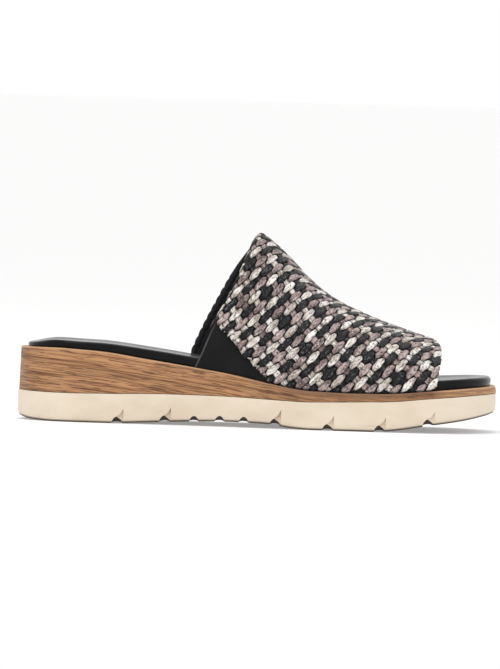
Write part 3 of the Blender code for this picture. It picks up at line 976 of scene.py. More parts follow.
@dataclass(frozen=True)
class RubberFinish:
    """Foam rubber with a fine skin, faint clouding, grey scuffs low on its walls and painted shadow along the
    tread.
    """

    name: str = "cream_rubber"
    light: Colour = paint(219, 206, 187)
    deep: Colour = paint(209, 193, 171)
    scuff: Colour = paint(150, 141, 129)
    # Colour of the painted shadow along the tread
    painted_tread_shadow: Colour = paint(60, 45, 37)
    clouds: Noise = Noise((26.0, 26.0, 60.0), 3.0, 0.6)
    grain: Noise = Noise((2400.0, 2400.0, 2400.0))
    scuffs: Noise = Noise((70.0, 70.0, 420.0), 4.0, 0.7)
    cloud_span: Span = (0.35, 0.75)
    scuff_span: Span = (0.60, 0.74)
    scuff_share: float = 0.06
    low_span: Span = (0.002, 0.012)
    low_share: float = 0.25
    tread_shadow_span: Span = (0.0004, 0.0016)
    tread_shadow_share: float = 0.95
    roughness: float = 0.52
    unevenness: float = 0.15
    grain_relief: float = 0.6
    cloud_relief: float = 0.4
    relief: float = 0.00012
    relief_strength: float = 0.5
    gloss: float = 0.25

    def dress(self) -> bpy.types.Material:
        """Build the material on the object's own coordinates and on tread: x, y and height over the tread."""
        palette = Palette(self.name)
        cloud, grain, scuffs = (palette.noise(noise) for noise in (self.clouds, self.grain, self.scuffs))
        low = 1 - palette.axes()[2].step(*self.low_span)
        over = palette.axes("tread")[2]
        colour = palette.blend(cloud.step(*self.cloud_span), self.light, self.deep)
        worn = scuffs.step(*self.scuff_span) * (self.scuff_share + low * self.low_share)
        colour = palette.blend(worn, colour, self.scuff)
        # Painted shadow: darkest on the tread, fading up the wall's first millimetre
        tread_shadow_mask = (1 - over.step(*self.tread_shadow_span)) * self.tread_shadow_share
        height = grain * self.grain_relief + cloud * self.cloud_relief
        return palette.finish(
            base_color=palette.blend(tread_shadow_mask, colour, self.painted_tread_shadow),
            roughness=self.roughness + (grain - MEAN) * self.unevenness,
            normal=palette.relief(height, self.relief, self.relief_strength),
            specular_ior_level=self.gloss,
        )


@dataclass(frozen=True)
class ElasticFinish:
    """Black elastic: fine ribs run up and down between the weave and the wedge."""

    name: str
    colour: Colour
    worn: Colour
    ribs: Noise = Noise((1500.0, 60.0, 90.0), 1.0, 0.4)
    clouds: Noise = Noise((90.0, 90.0, 90.0))
    cloud_span: Span = (0.4, 0.8)
    roughness: float = 0.85
    relief: float = 0.00016
    relief_strength: float = 0.6
    gloss: float = 0.08

    def dress(self) -> bpy.types.Material:
        """Build the material on the object's own coordinates, in metres."""
        palette = Palette(self.name)
        cloud = palette.noise(self.clouds)
        return palette.finish(
            base_color=palette.blend(cloud.step(*self.cloud_span), self.colour, self.worn),
            roughness=self.roughness,
            normal=palette.relief(palette.noise(self.ribs), self.relief, self.relief_strength),
            specular_ior_level=self.gloss,
        )


STRIPS = {
    Tone.CREAM: StripFinish(
        tone=Tone.CREAM,
        light=paint(250, 246, 239),
        deep=paint(170, 156, 143),
        speck=paint(88, 72, 62),
        speck_share=0.8,
        fleck=paint(250, 247, 242),
        fleck_share=0.7,
        roughness=0.45,
        gloss=0.4,
    ),
    Tone.TAUPE: StripFinish(
        tone=Tone.TAUPE,
        light=paint(190, 168, 163),
        deep=paint(100, 82, 79),
        speck=paint(36, 28, 28),
        speck_share=0.85,
        fleck=paint(234, 226, 222),
        fleck_share=0.7,
        roughness=0.42,
        gloss=0.4,
    ),
    Tone.BLACK: StripFinish(
        tone=Tone.BLACK,
        light=paint(29, 30, 31),
        deep=paint(14, 14, 15),
        speck=paint(8, 8, 8),
        speck_share=0.5,
        fleck=paint(150, 150, 152),
        fleck_share=0.5,
        roughness=0.38,
        gloss=0.25,
    ),
}
INSOLE_LEATHER = LeatherFinish(
    "insole_leather",
    paint(12, 12, 14),
    paint(17, 17, 19),
    roughness=0.24,
    pebble=0.00002,
    gloss=0.12,
    sheen=0.2,
)
LINING_LEATHER = LeatherFinish(
    "lining_leather", paint(34, 34, 37), paint(46, 46, 50), roughness=0.6, pebble=0.00012, gloss=0.15
)
# Pale grey on the lining's near edge: painted highlight where the edge catches the light
LINING_EDGE_HIGHLIGHT = LeatherFinish(
    "lining_edge_highlight", paint(150, 148, 150), paint(112, 110, 114), roughness=0.5, pebble=0.0001
)
GUSSET_ELASTIC = ElasticFinish("gusset_elastic", paint(27, 27, 27), paint(32, 32, 33))
# Grey elastic on the gusset's rolled rear edge: painted highlight on the folded edge
GUSSET_EDGE_HIGHLIGHT = ElasticFinish("gusset_edge_highlight", paint(78, 78, 78), paint(58, 58, 60))
CREAM_RUBBER = RubberFinish()
# Dark copy of the cream rubber for the channels' walls: painted shade inside the channels
SHADED_RUBBER = RubberFinish("shaded_rubber", paint(66, 52, 44), paint(52, 41, 35), paint(44, 36, 32))


def seat(
    piece: bpy.types.Object, material: bpy.types.Material | None, slot: str, *nodes: str
) -> bpy.types.Object:
    """Dress a piece, give it its body and hide the solids that it stands for.

    Args:
        piece: The finished piece.
        material: Its material, or none if it is dressed already.
        slot: The record's material slot; not used.
        nodes: Solids that it replaces.

    Returns:
        The piece.
    """
    if material:
        piece.data.materials.clear()
        piece.data.materials.append(material)
    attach(piece, "root")
    if nodes:
        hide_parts(*nodes)
    return piece


@dataclass
class Outsole:
    """Cream outsole: rounded at its edges, with cross channels and scoops in its side walls."""

    sole: SoleForm
    stations: int = 150
    edge: float = 0.0022
    edge_rise: float = 1.6
    top_edge: float = 0.0006
    round_steps: int = 5
    channel_width: float = 0.0064
    channel_height: float = 0.0037
    waist_width: float = 0.0056
    waist_height: float = 0.0031
    inside: float = 0.25
    flare: float = 0.8
    crown: float = 1.1
    channel_sides: int = 40
    shoulder: float = 0.8
    pinch: float = 0.18
    scoop_height: float = 0.0092
    scoop_depth: float = 0.0016
    scoop_spread: float = 1.15
    scoop_front: float = 1.03
    scoop_least: float = 0.35
    scoop_outer: float = 1.35
    scoop_inner: float = 0.3
    scoop_outside: float = 2.0

    def _rings(self) -> list[Array]:
        """Rings of the outline from the tread to the top, both edges rounded."""
        sole = self.sole
        rings = []
        for angle in np.linspace(0, math.pi / 2, self.round_steps):
            inset = self.edge * (1 - math.sin(angle))
            rise = self.edge * self.edge_rise * (1 - math.cos(angle))
            rings.append(sole.ring(self.stations, inset, lambda x, rise=rise: sole.ground(x) + rise))
        for angle in np.linspace(0, math.pi / 2, self.round_steps - 1):
            inset = self.top_edge * (1 - math.cos(angle))
            drop = self.top_edge * (1 - math.sin(angle))
            rings.append(sole.ring(self.stations, inset, lambda x, drop=drop: sole.outsole_top(x) - drop))
        return [sole.in_frame(ring) for ring in rings]

    def _channel(self, x: float, sides: tuple[float, float], width: float, height: float) -> bpy.types.Object:
        """Cutter for a channel right across the sole.

        Args:
            x: Distance of the channel from the back of the heel.
            sides: Lateral and medial side there.
            width: Width of the channel.
            height: Height of its mouths; between them it is lower.

        Returns:
            The cutter, tall outside both side walls and low between them.
        """
        reach = width * self.flare
        across = (sides[0] - reach, sides[0] + reach, sides[1] - reach, sides[1] + reach)
        mouth = 2 - self.inside
        stations = np.linspace(0, 1, len(across))
        cutter = Bench.tube("channel_cutter", self.channel_sides, len(across))
        points = Bench.coordinates(cutter)
        share = points[:, 2] + 0.5
        y = np.interp(share, stations, across)
        tall = np.interp(share, stations, (mouth, self.inside, self.inside, mouth))
        up = blunted(points[:, 1], self.crown)
        narrow = 1 - self.pinch * np.clip(points[:, 1], 0, 1)
        base = float(self.sole.ground(np.array(x)))
        cutter_x = x - self.sole.heel_rest + points[:, 0] * narrow * width / 2
        Bench.move(cutter, np.column_stack((cutter_x, y, base + up * height * tall)))
        return self._faced_out(cutter)

    def _scoop(self, x: float, wall: float, outward: float) -> bpy.types.Object:
        """Cutter for the shallow scoop over a channel: upright towards the toe, slanted towards the heel."""
        Bench.clear_selection()
        bpy.ops.mesh.primitive_cube_add(size=1.0)
        cutter = Bench.take("scoop_cutter")
        points = Bench.coordinates(cutter) + 0.5
        outer = points[:, 1] > 0.5
        spread = np.where(outer, self.scoop_outer, self.scoop_inner)
        y = wall + outward * self.scoop_depth * np.where(outer, self.scoop_outside, -1.0)
        front = x - self.sole.heel_rest + self.channel_width / 2 * self.scoop_front
        back = front - self.channel_width * self.scoop_spread * spread
        base = float(self.sole.ground(np.array(x)))
        rise = self.scoop_least + (1 - self.scoop_least) * spread
        crown = base + self.channel_height + (self.scoop_height - self.channel_height) * rise
        shoulder = base + self.channel_height * self.shoulder
        ahead = points[:, 0] > 0.5
        top = np.where(ahead, crown, shoulder)
        z = np.where(points[:, 2] > 0.5, top, base - self.channel_height)
        Bench.move(cutter, np.column_stack((np.where(ahead, front, back), y, z)))
        return self._faced_out(cutter)

    def _cutters(self) -> list[bpy.types.Object]:
        """Two cutters: all channels, and all scoops."""
        channels, scoops = [], []
        for share, scooped in CHANNELS.rows:
            x = share * self.sole.length
            lateral, medial = (float(side) for side in self.sole.sides(np.array(x)))
            width = self.channel_width if scooped else self.waist_width
            height = self.channel_height if scooped else self.waist_height
            channels.append(self._channel(x, (lateral, medial), width, height))
            if scooped:
                scoops.append(self._scoop(x, lateral, -1.0))
                scoops.append(self._scoop(x, medial, 1.0))
        return [Bench.join(channels, "channel_cutters"), Bench.join(scoops, "scoop_cutters")]

    def build(self) -> bpy.types.Object:
        """Model, cut and dress the outsole."""
        piece = Bench.layered("outsole_unit", self._rings(), 0)
        skin = CREAM_RUBBER.dress()
        piece.data.materials.append(skin)
        # The channels' walls take the dark copy: painted shade inside the channels
        inside = SHADED_RUBBER.dress()
        for cutter, finish in zip(self._cutters(), (inside, skin)):
            cutter.data.materials.append(finish)
            Bench.apply(
                piece,
                "BOOLEAN",
                operation="DIFFERENCE",
                solver="EXACT",
                material_mode="TRANSFER",
                object=cutter,
            )
            bpy.data.objects.remove(cutter, do_unlink=True)
        # Height over the tread, for the painted shadow along it
        points = Bench.coordinates(piece)
        over = points[:, 2] - self.sole.ground(points[:, 0] + self.sole.heel_rest)
        Bench.mark(piece, "tread", np.column_stack((points[:, 0], points[:, 1], over)))
        Bench.smooth(piece, SOLE_CREASE)
        return seat(piece, None, "outsole", "outsole")

    @staticmethod
    def _faced_out(cutter: bpy.types.Object) -> bpy.types.Object:
        """Turn a cutter's faces outwards if its mesh came out mirrored."""
        shape = bmesh.new()
        shape.from_mesh(cutter.data)
        mirrored = shape.calc_volume(signed=True) < 0
        shape.free()
        if mirrored:
            bpy.ops.object.mode_set(mode="EDIT")
            bpy.ops.mesh.select_all(action="SELECT")
            bpy.ops.mesh.flip_normals()
            bpy.ops.object.mode_set(mode="OBJECT")
        return cutter


@dataclass
class Wedge:
    """Wood-look wedge with a softened top edge."""

    sole: SoleForm
    stations: int = 150
    wall_rows: int = 4
    round_steps: int = 5
    grain_slope: float = 0.11
    grain_follow: float = 0.45
    grain_shift: float = 0.0021
    toe_start: float = 0.94
    toe_reach: float = 0.0007

    def _rings(self) -> list[Array]:
        """Rings of the outline from the wedge's foot to its top."""
        sole = self.sole
        lean = sole.wedge_lean
        rings = []
        for share in np.linspace(0, 1, self.wall_rows):
            inset = sole.wedge_inset + lean * share

            def height(x: Array, share: float = share) -> Array:
                """Height of a row of the wall."""
                return sole.wedge_foot(x) * (1 - share) + (sole.wedge_top(x) - lean) * share

            rings.append(sole.ring(self.stations, inset, height))
        for angle in np.linspace(0, math.pi / 2, self.round_steps)[1:]:
            inset = sole.wedge_inset + lean * (2 - math.cos(angle))
            drop = lean * (1 - math.sin(angle))
            rings.append(sole.ring(self.stations, inset, lambda x, drop=drop: sole.wedge_top(x) - drop))
        return [sole.in_frame(sole.reached(ring, self.toe_start, self.toe_reach)) for ring in rings]

    def build(self) -> bpy.types.Object:
        """Model and dress the wedge, its grain following the slope of its top."""
        piece = Bench.layered("wedge_body", self._rings(), 0)
        points = Bench.coordinates(piece)
        depth = self.sole.wedge_top(points[:, 0] + self.sole.heel_rest) - points[:, 2]
        level = self.grain_shift - points[:, 2] - points[:, 0] * self.grain_slope
        grain = depth * self.grain_follow + level * (1 - self.grain_follow)
        Bench.mark(piece, "grain", np.column_stack((points[:, 0], points[:, 1], grain)))
        Bench.mark(piece, "wall", np.column_stack((points[:, 0], depth, np.zeros(len(points)))))
        Bench.smooth(piece, SOLE_CREASE)
        return seat(piece, WoodFinish().dress(), "wedge_midsole", "wedge_midsole")


@dataclass
class Insole:
    """Padded black insole: a rolled edge round a slightly dished footbed."""

    upper: UpperForm
    stations: int = 120
    edge: float = 0.0019
    dish: float = 0.0008
    upright: float = 0.6
    toe_start: float = 0.93
    toe_reach: float = 0.0022
    round_steps: int = 7
    foot_inset: float = 0.2
    dish_rings: tuple[Span, ...] = ((2.2, 0.25), (4.0, 1.0))
    cap_rows: int = 5

    def _rings(self) -> list[Array]:
        """Rings of the outline from the insole's foot over its rolled edge to the footbed."""
        sole = self.upper.sole
        inset = self.upper.inset + self.upper.wall + sole.gap
        rings = [sole.ring(self.stations, inset + self.edge * self.foot_inset, sole.insole_foot)]
        for angle in np.linspace(0, math.pi / 2, self.round_steps):
            drawn = inset + self.edge * (1 - math.cos(angle))

            def height(x: Array, angle: float = angle) -> Array:
                """Height of a row of the rolled edge."""
                tall = sole.insole_top(x) - sole.insole_foot(x)
                return sole.insole_foot(x) + tall * (self.upright + (1 - self.upright) * math.sin(angle))

            rings.append(sole.ring(self.stations, drawn, height))
        for step, drop in self.dish_rings:
            sunk = self.dish * drop
            drawn = inset + self.edge * step
            rings.append(sole.ring(self.stations, drawn, lambda x, sunk=sunk: sole.insole_top(x) - sunk))
        return [sole.in_frame(sole.reached(ring, self.toe_start, self.toe_reach)) for ring in rings]

    def build(self) -> bpy.types.Object:
        """Model, soften and dress the insole."""
        piece = Bench.layered("insole_pad", self._rings(), self.cap_rows)
        Bench.smooth(piece, PAD_CREASE)
        seat(piece, INSOLE_LEATHER.dress(), "insole", "insole")
        return piece


@dataclass(frozen=True)
class StripShape:
    """Section of a strip and its swing over and under the others, in metres or shares of half a swing."""

    over_width: float
    under_width: float
    reach: float
    blunt: float
    thickness: float
    over_height: float
    under_height: float
    dive_start: float
    dive_end: float

    def width(self, lie: Array) -> Array:
        """Width at a share of the way from the middle of a float to the middle of the strip's dive."""
        full = np.clip(1 - (lie / self.reach) ** 2, 0, 1) ** self.blunt
        return self.under_width + (self.over_width - self.under_width) * full

    def dive(self, lie: Array) -> Array:
        """How far the strip has dived at a share of the way, from 0 to 1."""
        share = np.clip((lie - self.dive_start) / (self.dive_end - self.dive_start), 0, 1)
        return eased(share)


@dataclass(frozen=True)
class Ripple:
    """Small wave along a strip, shifted from one strip to the next."""

    size: float
    rate: float
    shift: float

    def at(self, s: Array, number: int) -> Array:
        """Its height at distances along a numbered strip."""
        return self.size * np.sin(s * self.rate + number * self.shift)


@dataclass(frozen=True)
class FrayShape:
    """Loose strip ends along the gusset's seam; least and most bound a turn, a lean and a length."""

    count: int = 34
    first: float = 0.03
    last: float = 0.98
    length: float = 0.0026
    width: float = 0.00055
    least: Triple = (-0.9, -0.2, 0.6)
    most: Triple = (0.9, 0.6, 1.0)
    tones: tuple[Tone, ...] = (Tone.CREAM, Tone.CREAM, Tone.TAUPE, Tone.BLACK)
    tucked: float = 0.5
    tip: float = 0.02
    foot: float = 0.0004
    lift: float = 0.0002
    rise: float = 0.0008
    flatness: float = 0.6
    edge_shade: float = 0.6
    sides: int = 6
    stations: int = 5


@dataclass
class Weave:
    """Woven band: rising strips in long pointed floats, falling strips in squares between their tips."""

    upper: UpperForm
    float_step: float = 0.00717
    strip_step: float = 0.00286
    rising_angle: float = math.radians(44.7)
    falling_angle: float = math.radians(-40.9)
    start: tuple[float, float] = (-0.0294, 0.00641)
    middle: float = 0.150
    crowding: float = 1.0
    rising: StripShape = StripShape(0.0037, 0.0007, 0.84, 1.15, 0.00100, 0.00045, -0.00065, 0.44, 0.84)
    falling: StripShape = StripShape(0.0041, 0.0036, 1.20, 0.50, 0.00070, 0.00010, -0.00065, 0.20, 0.80)
    doubled_cream: int = 1
    fold_radius: float = 0.0009
    fold_reach: float = 0.0022
    longest_turn: float = 0.016
    set_back: float = 0.0030
    sides: int = 10
    station: float = 0.00075
    sample: float = 0.00025
    shortest: float = 0.0022
    search_reach: float = 0.40
    round_probes: Triple = (0.0, 0.09, 0.23)
    peak_gap: float = 0.002
    set_back_fade: float = 0.010
    slope_step: float = 0.003
    nudge: float = 0.001
    ragged: float = 0.0013
    ragged_span: Span = (-0.2, 1.0)
    side_blunt: float = 0.8
    top_blunt: float = 0.9
    thinning: float = 0.35
    swell: Ripple = Ripple(0.07, 900.0, 1.7)
    crumple: Ripple = Ripple(0.05, 2300.0, 4.1)
    sway: Ripple = Ripple(0.00012, 1400.0, 2.9)
    fray: FrayShape = FrayShape()
    # Width of the painted shade along the weave's foot
    foot_shade: float = 0.0016
    seed: int = 7
    pieces: dict[Tone, list] = field(default_factory=lambda: {tone: [] for tone in Tone})

    @cached_property
    def random(self) -> np.random.Generator:
        """Source of the weave's random draws."""
        return np.random.default_rng(self.seed)

    def _direction(self, run: Run) -> Array:
        """Unit direction of a run on the cloth."""
        angle = self.rising_angle if run is Run.RISING else self.falling_angle
        return np.array((math.cos(angle), math.sin(angle)))

    def tone(self, run: Run, number: int) -> Tone:
        """Tone of a strip: both runs repeat cream, black and taupe, but two rear falling ones are cream."""
        if run is Run.FALLING and number == self.doubled_cream:
            return Tone.CREAM
        return (Tone.CREAM, Tone.BLACK, Tone.TAUPE)[number % 3]

    @cached_property
    def _stretch(self) -> tuple[Array, Array]:
        """Distances round the shoe, and on the unstretched cloth, at even steps."""
        rows = np.array(CLOTH.rows)
        around = np.arange(rows[0, 0], rows[-1, 0], self.sample)
        return around, CLOTH.read("flat", around)

    def _laid(self, u: Array, v: Array) -> tuple[Array, Array]:
        """Places along the shoe and distances round it, of points of the unstretched cloth."""
        around = np.interp(v, self._stretch[1], self._stretch[0])
        widen = CLOTH.read("widen", around)
        room = widen**2 - 4 * self.crowding * u
        return self.middle + (widen - np.sqrt(room)) / (2 * self.crowding), around

    def _cloth(self, x: float, around: float) -> Array:
        """Point of the unstretched cloth that lies at a place on the shoe."""
        along = x - self.middle
        u = along * CLOTH.read("widen", around) - self.crowding * along**2
        return np.array((u, CLOTH.read("flat", around)))

    def _far(self, around: Array) -> Array:
        """Whether places round the shoe lie on the inner side of its collar, past the peak."""
        return around > self.upper.collar_ridge + self.peak_gap

    def _edge_line(self, edge: Edge, around: Array) -> Array:
        """Place of the weave's own edge: behind the far collar it leaves room for the binding."""
        x = self.upper.edge_x(edge, around)
        if edge is Edge.COLLAR:
            past = (around - self.upper.collar_ridge - self.peak_gap) / self.set_back_fade
            return x + self.set_back * np.clip(past, 0, 1)
        return x

    def _edge_slope(self, edge: Edge, around: Array) -> Array:
        """Slope of the weave's edge on the flat sheet."""
        step = self.slope_step
        return (self._edge_line(edge, around + step) - self._edge_line(edge, around - step)) / (2 * step)

    def _beyond(self, edge: Edge, x: Array, around: Array) -> Array:
        """Distance beyond an edge of the weave, square to it; negative inside."""
        sign = -1.0 if edge is Edge.COLLAR else 1.0
        slope = self._edge_slope(edge, around)
        return sign * (x - self._edge_line(edge, around)) / np.sqrt(1 + slope**2)

    def _margins(self, x: Array, around: Array) -> dict[str, Array]:
        """Distance inside each boundary of the weave."""
        return {
            "collar": -self._beyond(Edge.COLLAR, x, around),
            "toe": -self._beyond(Edge.TOE, x, around),
            "lateral": around,
            "medial": self.upper.total_round(x) - around,
            "seam": self.upper.seam_distance(x, around),
        }

    def _turned(self, x: Array, around: Array, height: Array) -> Array:
        """Points of a strip, folded round the collar or the toe edge where it runs past it."""
        points = self.upper.place(x, around, height)
        for edge in Edge:
            beyond = self._beyond(edge, x, around)
            out = beyond > 0
            if not out.any():
                continue
            sign = 1.0 if edge is Edge.COLLAR else -1.0
            slope = self._edge_slope(edge, around[out])
            inward = unit(np.stack((np.full(out.sum(), 1.0), -slope), 1) * sign)
            past = beyond[out]
            arc = math.pi * self.fold_radius
            back = np.maximum(0, past - arc)
            foot_x = x[out] + inward[:, 0] * (past + back)
            foot_round = around[out] + inward[:, 1] * (past + back)
            point, normal = self.upper.face(foot_x, foot_round)
            nudge = inward * self.nudge
            ahead, _ = self.upper.face(foot_x - nudge[:, 0], foot_round - nudge[:, 1])
            outward = unit(ahead - point)
            angle = np.minimum(past / self.fold_radius, math.pi)
            reach = (self.fold_radius + height[out])[:, None]
            swing = normal * np.cos(angle)[:, None] + outward * np.sin(angle)[:, None]
            points[out] = point - normal * self.fold_radius + swing * reach
        return points

    def _runs(self, start: Array, direction: Array, longest: float) -> list[tuple[float, float]]:
        """Stretches of a strip's line that lie inside the weave, lengthened for their turned ends.

        Args:
            start: Point of the line on the flat sheet.
            direction: Its unit direction.
            longest: Reach to search on both sides of the point.

        Returns:
            First and last distance of each stretch from the point.
        """
        s = np.arange(-longest, longest, self.sample)
        x, around = self._laid(start[0] + direction[0] * s, start[1] + direction[1] * s)
        margins = self._margins(x, around)
        inside = np.all([margin > 0 for margin in margins.values()], axis=0)
        flips = np.flatnonzero(np.diff(inside.astype(int)))
        stretches = []
        for first, last in zip(flips[::2], flips[1::2]):
            if (last - first) * self.sample < self.shortest:
                continue
            ends = []
            for place, step in ((first, -1), (last, 1)):
                cause = min(margins, key=lambda name: margins[name][place + (step > 0)])
                ends.append(s[place] + step * self._extra(cause, x, around, place, step))
            stretches.append((ends[0], ends[1]))
        return stretches

    def _extra(self, cause: str, x: Array, around: Array, place: int, step: int) -> float:
        """Length of a strip past its last point inside, by what it meets there."""
        if cause == "seam":
            return float(self.random.uniform(*self.ragged_span)) * self.ragged
        if cause in ("lateral", "medial") or (cause == "collar" and self._far(around[place])):
            return 0.0
        edge = Edge(cause)
        count = int(self.longest_turn / self.sample)
        stop = place + step * count
        span = slice(place, stop) if step > 0 else slice(place, max(stop, 0), -1)
        beyond = self._beyond(edge, x[span], around[span])
        enough = np.flatnonzero(beyond > math.pi * self.fold_radius + self.fold_reach)
        return float((enough[0] if len(enough) else count) * self.sample)

    def _lie(self, run: Run, number: int, s: Array) -> Array:
        """Share of the way from the middle of the nearest float, 0, to the middle of the strip's dive, 1."""
        step = self.float_step if run is Run.RISING else self.strip_step
        phase = number if run is Run.RISING else number + 1
        turns = (s / step - 0.5 - phase) / 2
        return np.abs(turns - np.round(turns)) * 2

    def _strip(self, run: Run, number: int, start: Array, ends: tuple[float, float]) -> None:
        """Model one strip between two distances along its line."""
        direction = self._direction(run)
        shape = self.rising if run is Run.RISING else self.falling
        stations = max(4, math.ceil((ends[1] - ends[0]) / self.station) + 1)
        piece = Bench.tube("strip", self.sides, stations)
        points = Bench.coordinates(piece)
        s = ends[0] + (points[:, 2] + 0.5) * (ends[1] - ends[0])
        angle = np.arctan2(points[:, 1], points[:, 0])
        lie = self._lie(run, number, s)
        dive = shape.dive(lie)
        middle = shape.over_height + (shape.under_height - shape.over_height) * dive
        across = blunted(np.cos(angle), self.side_blunt)
        up = blunted(np.sin(angle), self.top_blunt)
        wobble = 1 + self.swell.at(s, number) + self.crumple.at(s, number)
        side = across * shape.width(lie) / 2 * wobble + self.sway.at(s, number)
        u = start[0] + direction[0] * s - direction[1] * side
        v = start[1] + direction[1] * s + direction[0] * side
        x, around = self._laid(u, v)
        height = middle + up * shape.thickness / 2 * (1 - self.thinning * dive)
        Bench.move(piece, self.upper.sole.in_frame(self._turned(x, around, height)))
        seed = float(self.random.uniform(0, 1))
        Bench.mark(piece, "strip", np.column_stack((s, across, np.full(len(s), seed))))
        # Painted shade where the strip dives and along the weave's foot, stored for the strip material
        foot = np.minimum(around, self.upper.total_round(x) - around)
        painted_shade = np.maximum(dive, 1 - np.clip(foot / self.foot_shade, 0, 1))
        Bench.mark(piece, "lie", np.column_stack((painted_shade, np.abs(across), up)))
        self.pieces[self.tone(run, number)].append(piece)

    def _fray(self, share: float) -> None:
        """Model one loose strip end that sticks out past the seam, at a share of the way up it."""
        fray = self.fray
        foot, top, towards = self.upper.seam
        turn, lean, length = self.random.uniform(fray.least, fray.most)
        piece = Bench.tube("fray", fray.sides, fray.stations)
        points = Bench.coordinates(piece)
        along = points[:, 2] + 0.5
        cos, sin = math.cos(turn), math.sin(turn)
        away = -np.array((towards[0] * cos - towards[1] * sin, towards[0] * sin + towards[1] * cos))
        root = foot + (top - foot) * share - away * fray.length * fray.tucked
        taper = np.sqrt(np.clip(1 - along**3, fray.tip, 1)) * fray.width
        side = points[:, 0] * taper
        s = along * fray.length * length
        x = root[0] + away[0] * s - away[1] * side
        around = np.maximum(root[1] + away[1] * s + away[0] * side, fray.foot)
        height = fray.lift + lean * fray.rise * along**2 + points[:, 1] * taper * fray.flatness
        self.upper.lay(piece, x, around, height)
        Bench.mark(piece, "strip", np.column_stack((s, points[:, 0], np.full(len(s), share))))
        # Painted shade towards the fray's edges
        edge = np.abs(points[:, 0]) * fray.edge_shade
        Bench.mark(piece, "lie", np.column_stack((np.zeros(len(s)), edge, points[:, 1])))
        self.pieces[Tone(self.random.choice(fray.tones))].append(piece)

    def _numbers(self, run: Run) -> range:
        """Numbers of the strips of a run that can meet the weave."""
        corners = [
            self._cloth(x, around) - self.start
            for x in (self.upper.first_x, self.middle, self.upper.last_x)
            for around in self.round_probes
        ]
        rising = self._direction(Run.RISING) * self.float_step
        falling = self._direction(Run.FALLING) * self.strip_step
        steps = np.linalg.solve(np.column_stack((falling, rising)), np.array(corners).T)
        row = steps[0] if run is Run.RISING else steps[1]
        return range(math.floor(row.min()) - 1, math.ceil(row.max()) + 2)

    def build(self) -> list[bpy.types.Object]:
        """Model every strip, join those of one tone and dress them."""
        for run in Run:
            crossing = Run.FALLING if run is Run.RISING else Run.RISING
            step = self.strip_step if run is Run.RISING else self.float_step
            for number in self._numbers(run):
                start = np.array(self.start) + self._direction(crossing) * step * (number + 0.5)
                for ends in self._runs(start, self._direction(run), self.search_reach):
                    self._strip(run, number, start, ends)
        for share in np.linspace(self.fray.first, self.fray.last, self.fray.count):
            self._fray(float(share))
        made = []
        for tone, strips in self.pieces.items():
            piece = Bench.join(strips, f"strips_{tone.value}")
            piece.data.shade_smooth()
            made.append(seat(piece, STRIPS[tone].dress(), "woven_upper", "woven_upper"))
        return made


@dataclass
class Lining:
    """Black lining behind the weave, its edge scalloped along the far side of the collar."""

    upper: UpperForm
    outer: float = -0.00098
    thickness: float = 0.0008
    margin: float = 0.0012
    seam_lap: float = 0.0006
    scallop: float = 0.0010
    scallop_fade: float = 0.006
    scallop_pitch: float = 0.0062
    scallop_start: float = 0.045
    scallop_power: float = 0.7
    columns: int = 60
    rows: int = 260

    def build(self) -> bpy.types.Object:
        """Model and dress the lining."""
        upper = self.upper
        piece, along, round_share = Bench.sheet("lining", self.columns, self.rows)
        around = round_share * upper.edges[Edge.COLLAR][:, 0].max()
        down = around - upper.collar_ridge
        wave = np.abs(np.sin(math.pi * down / self.scallop_pitch)) ** self.scallop_power
        fade = np.clip((down - self.scallop_start) / self.scallop_fade, 0, 1)
        collar = upper.edge_x(Edge.COLLAR, around) + self.margin - self.scallop * wave * fade
        start = np.maximum(collar, upper.seam_x(around) - self.seam_lap)
        end = upper.edge_x(Edge.TOE, around) - self.margin
        x = start + (end - start) * along
        around = np.minimum(around, upper.total_round(x))
        upper.lay(piece, x, around, self.outer)
        Bench.apply(piece, "SOLIDIFY", thickness=self.thickness, offset=-1.0, use_even_offset=False)
        Bench.smooth(piece, PAD_CREASE)
        return seat(piece, LINING_LEATHER.dress(), "woven_upper", "woven_upper")


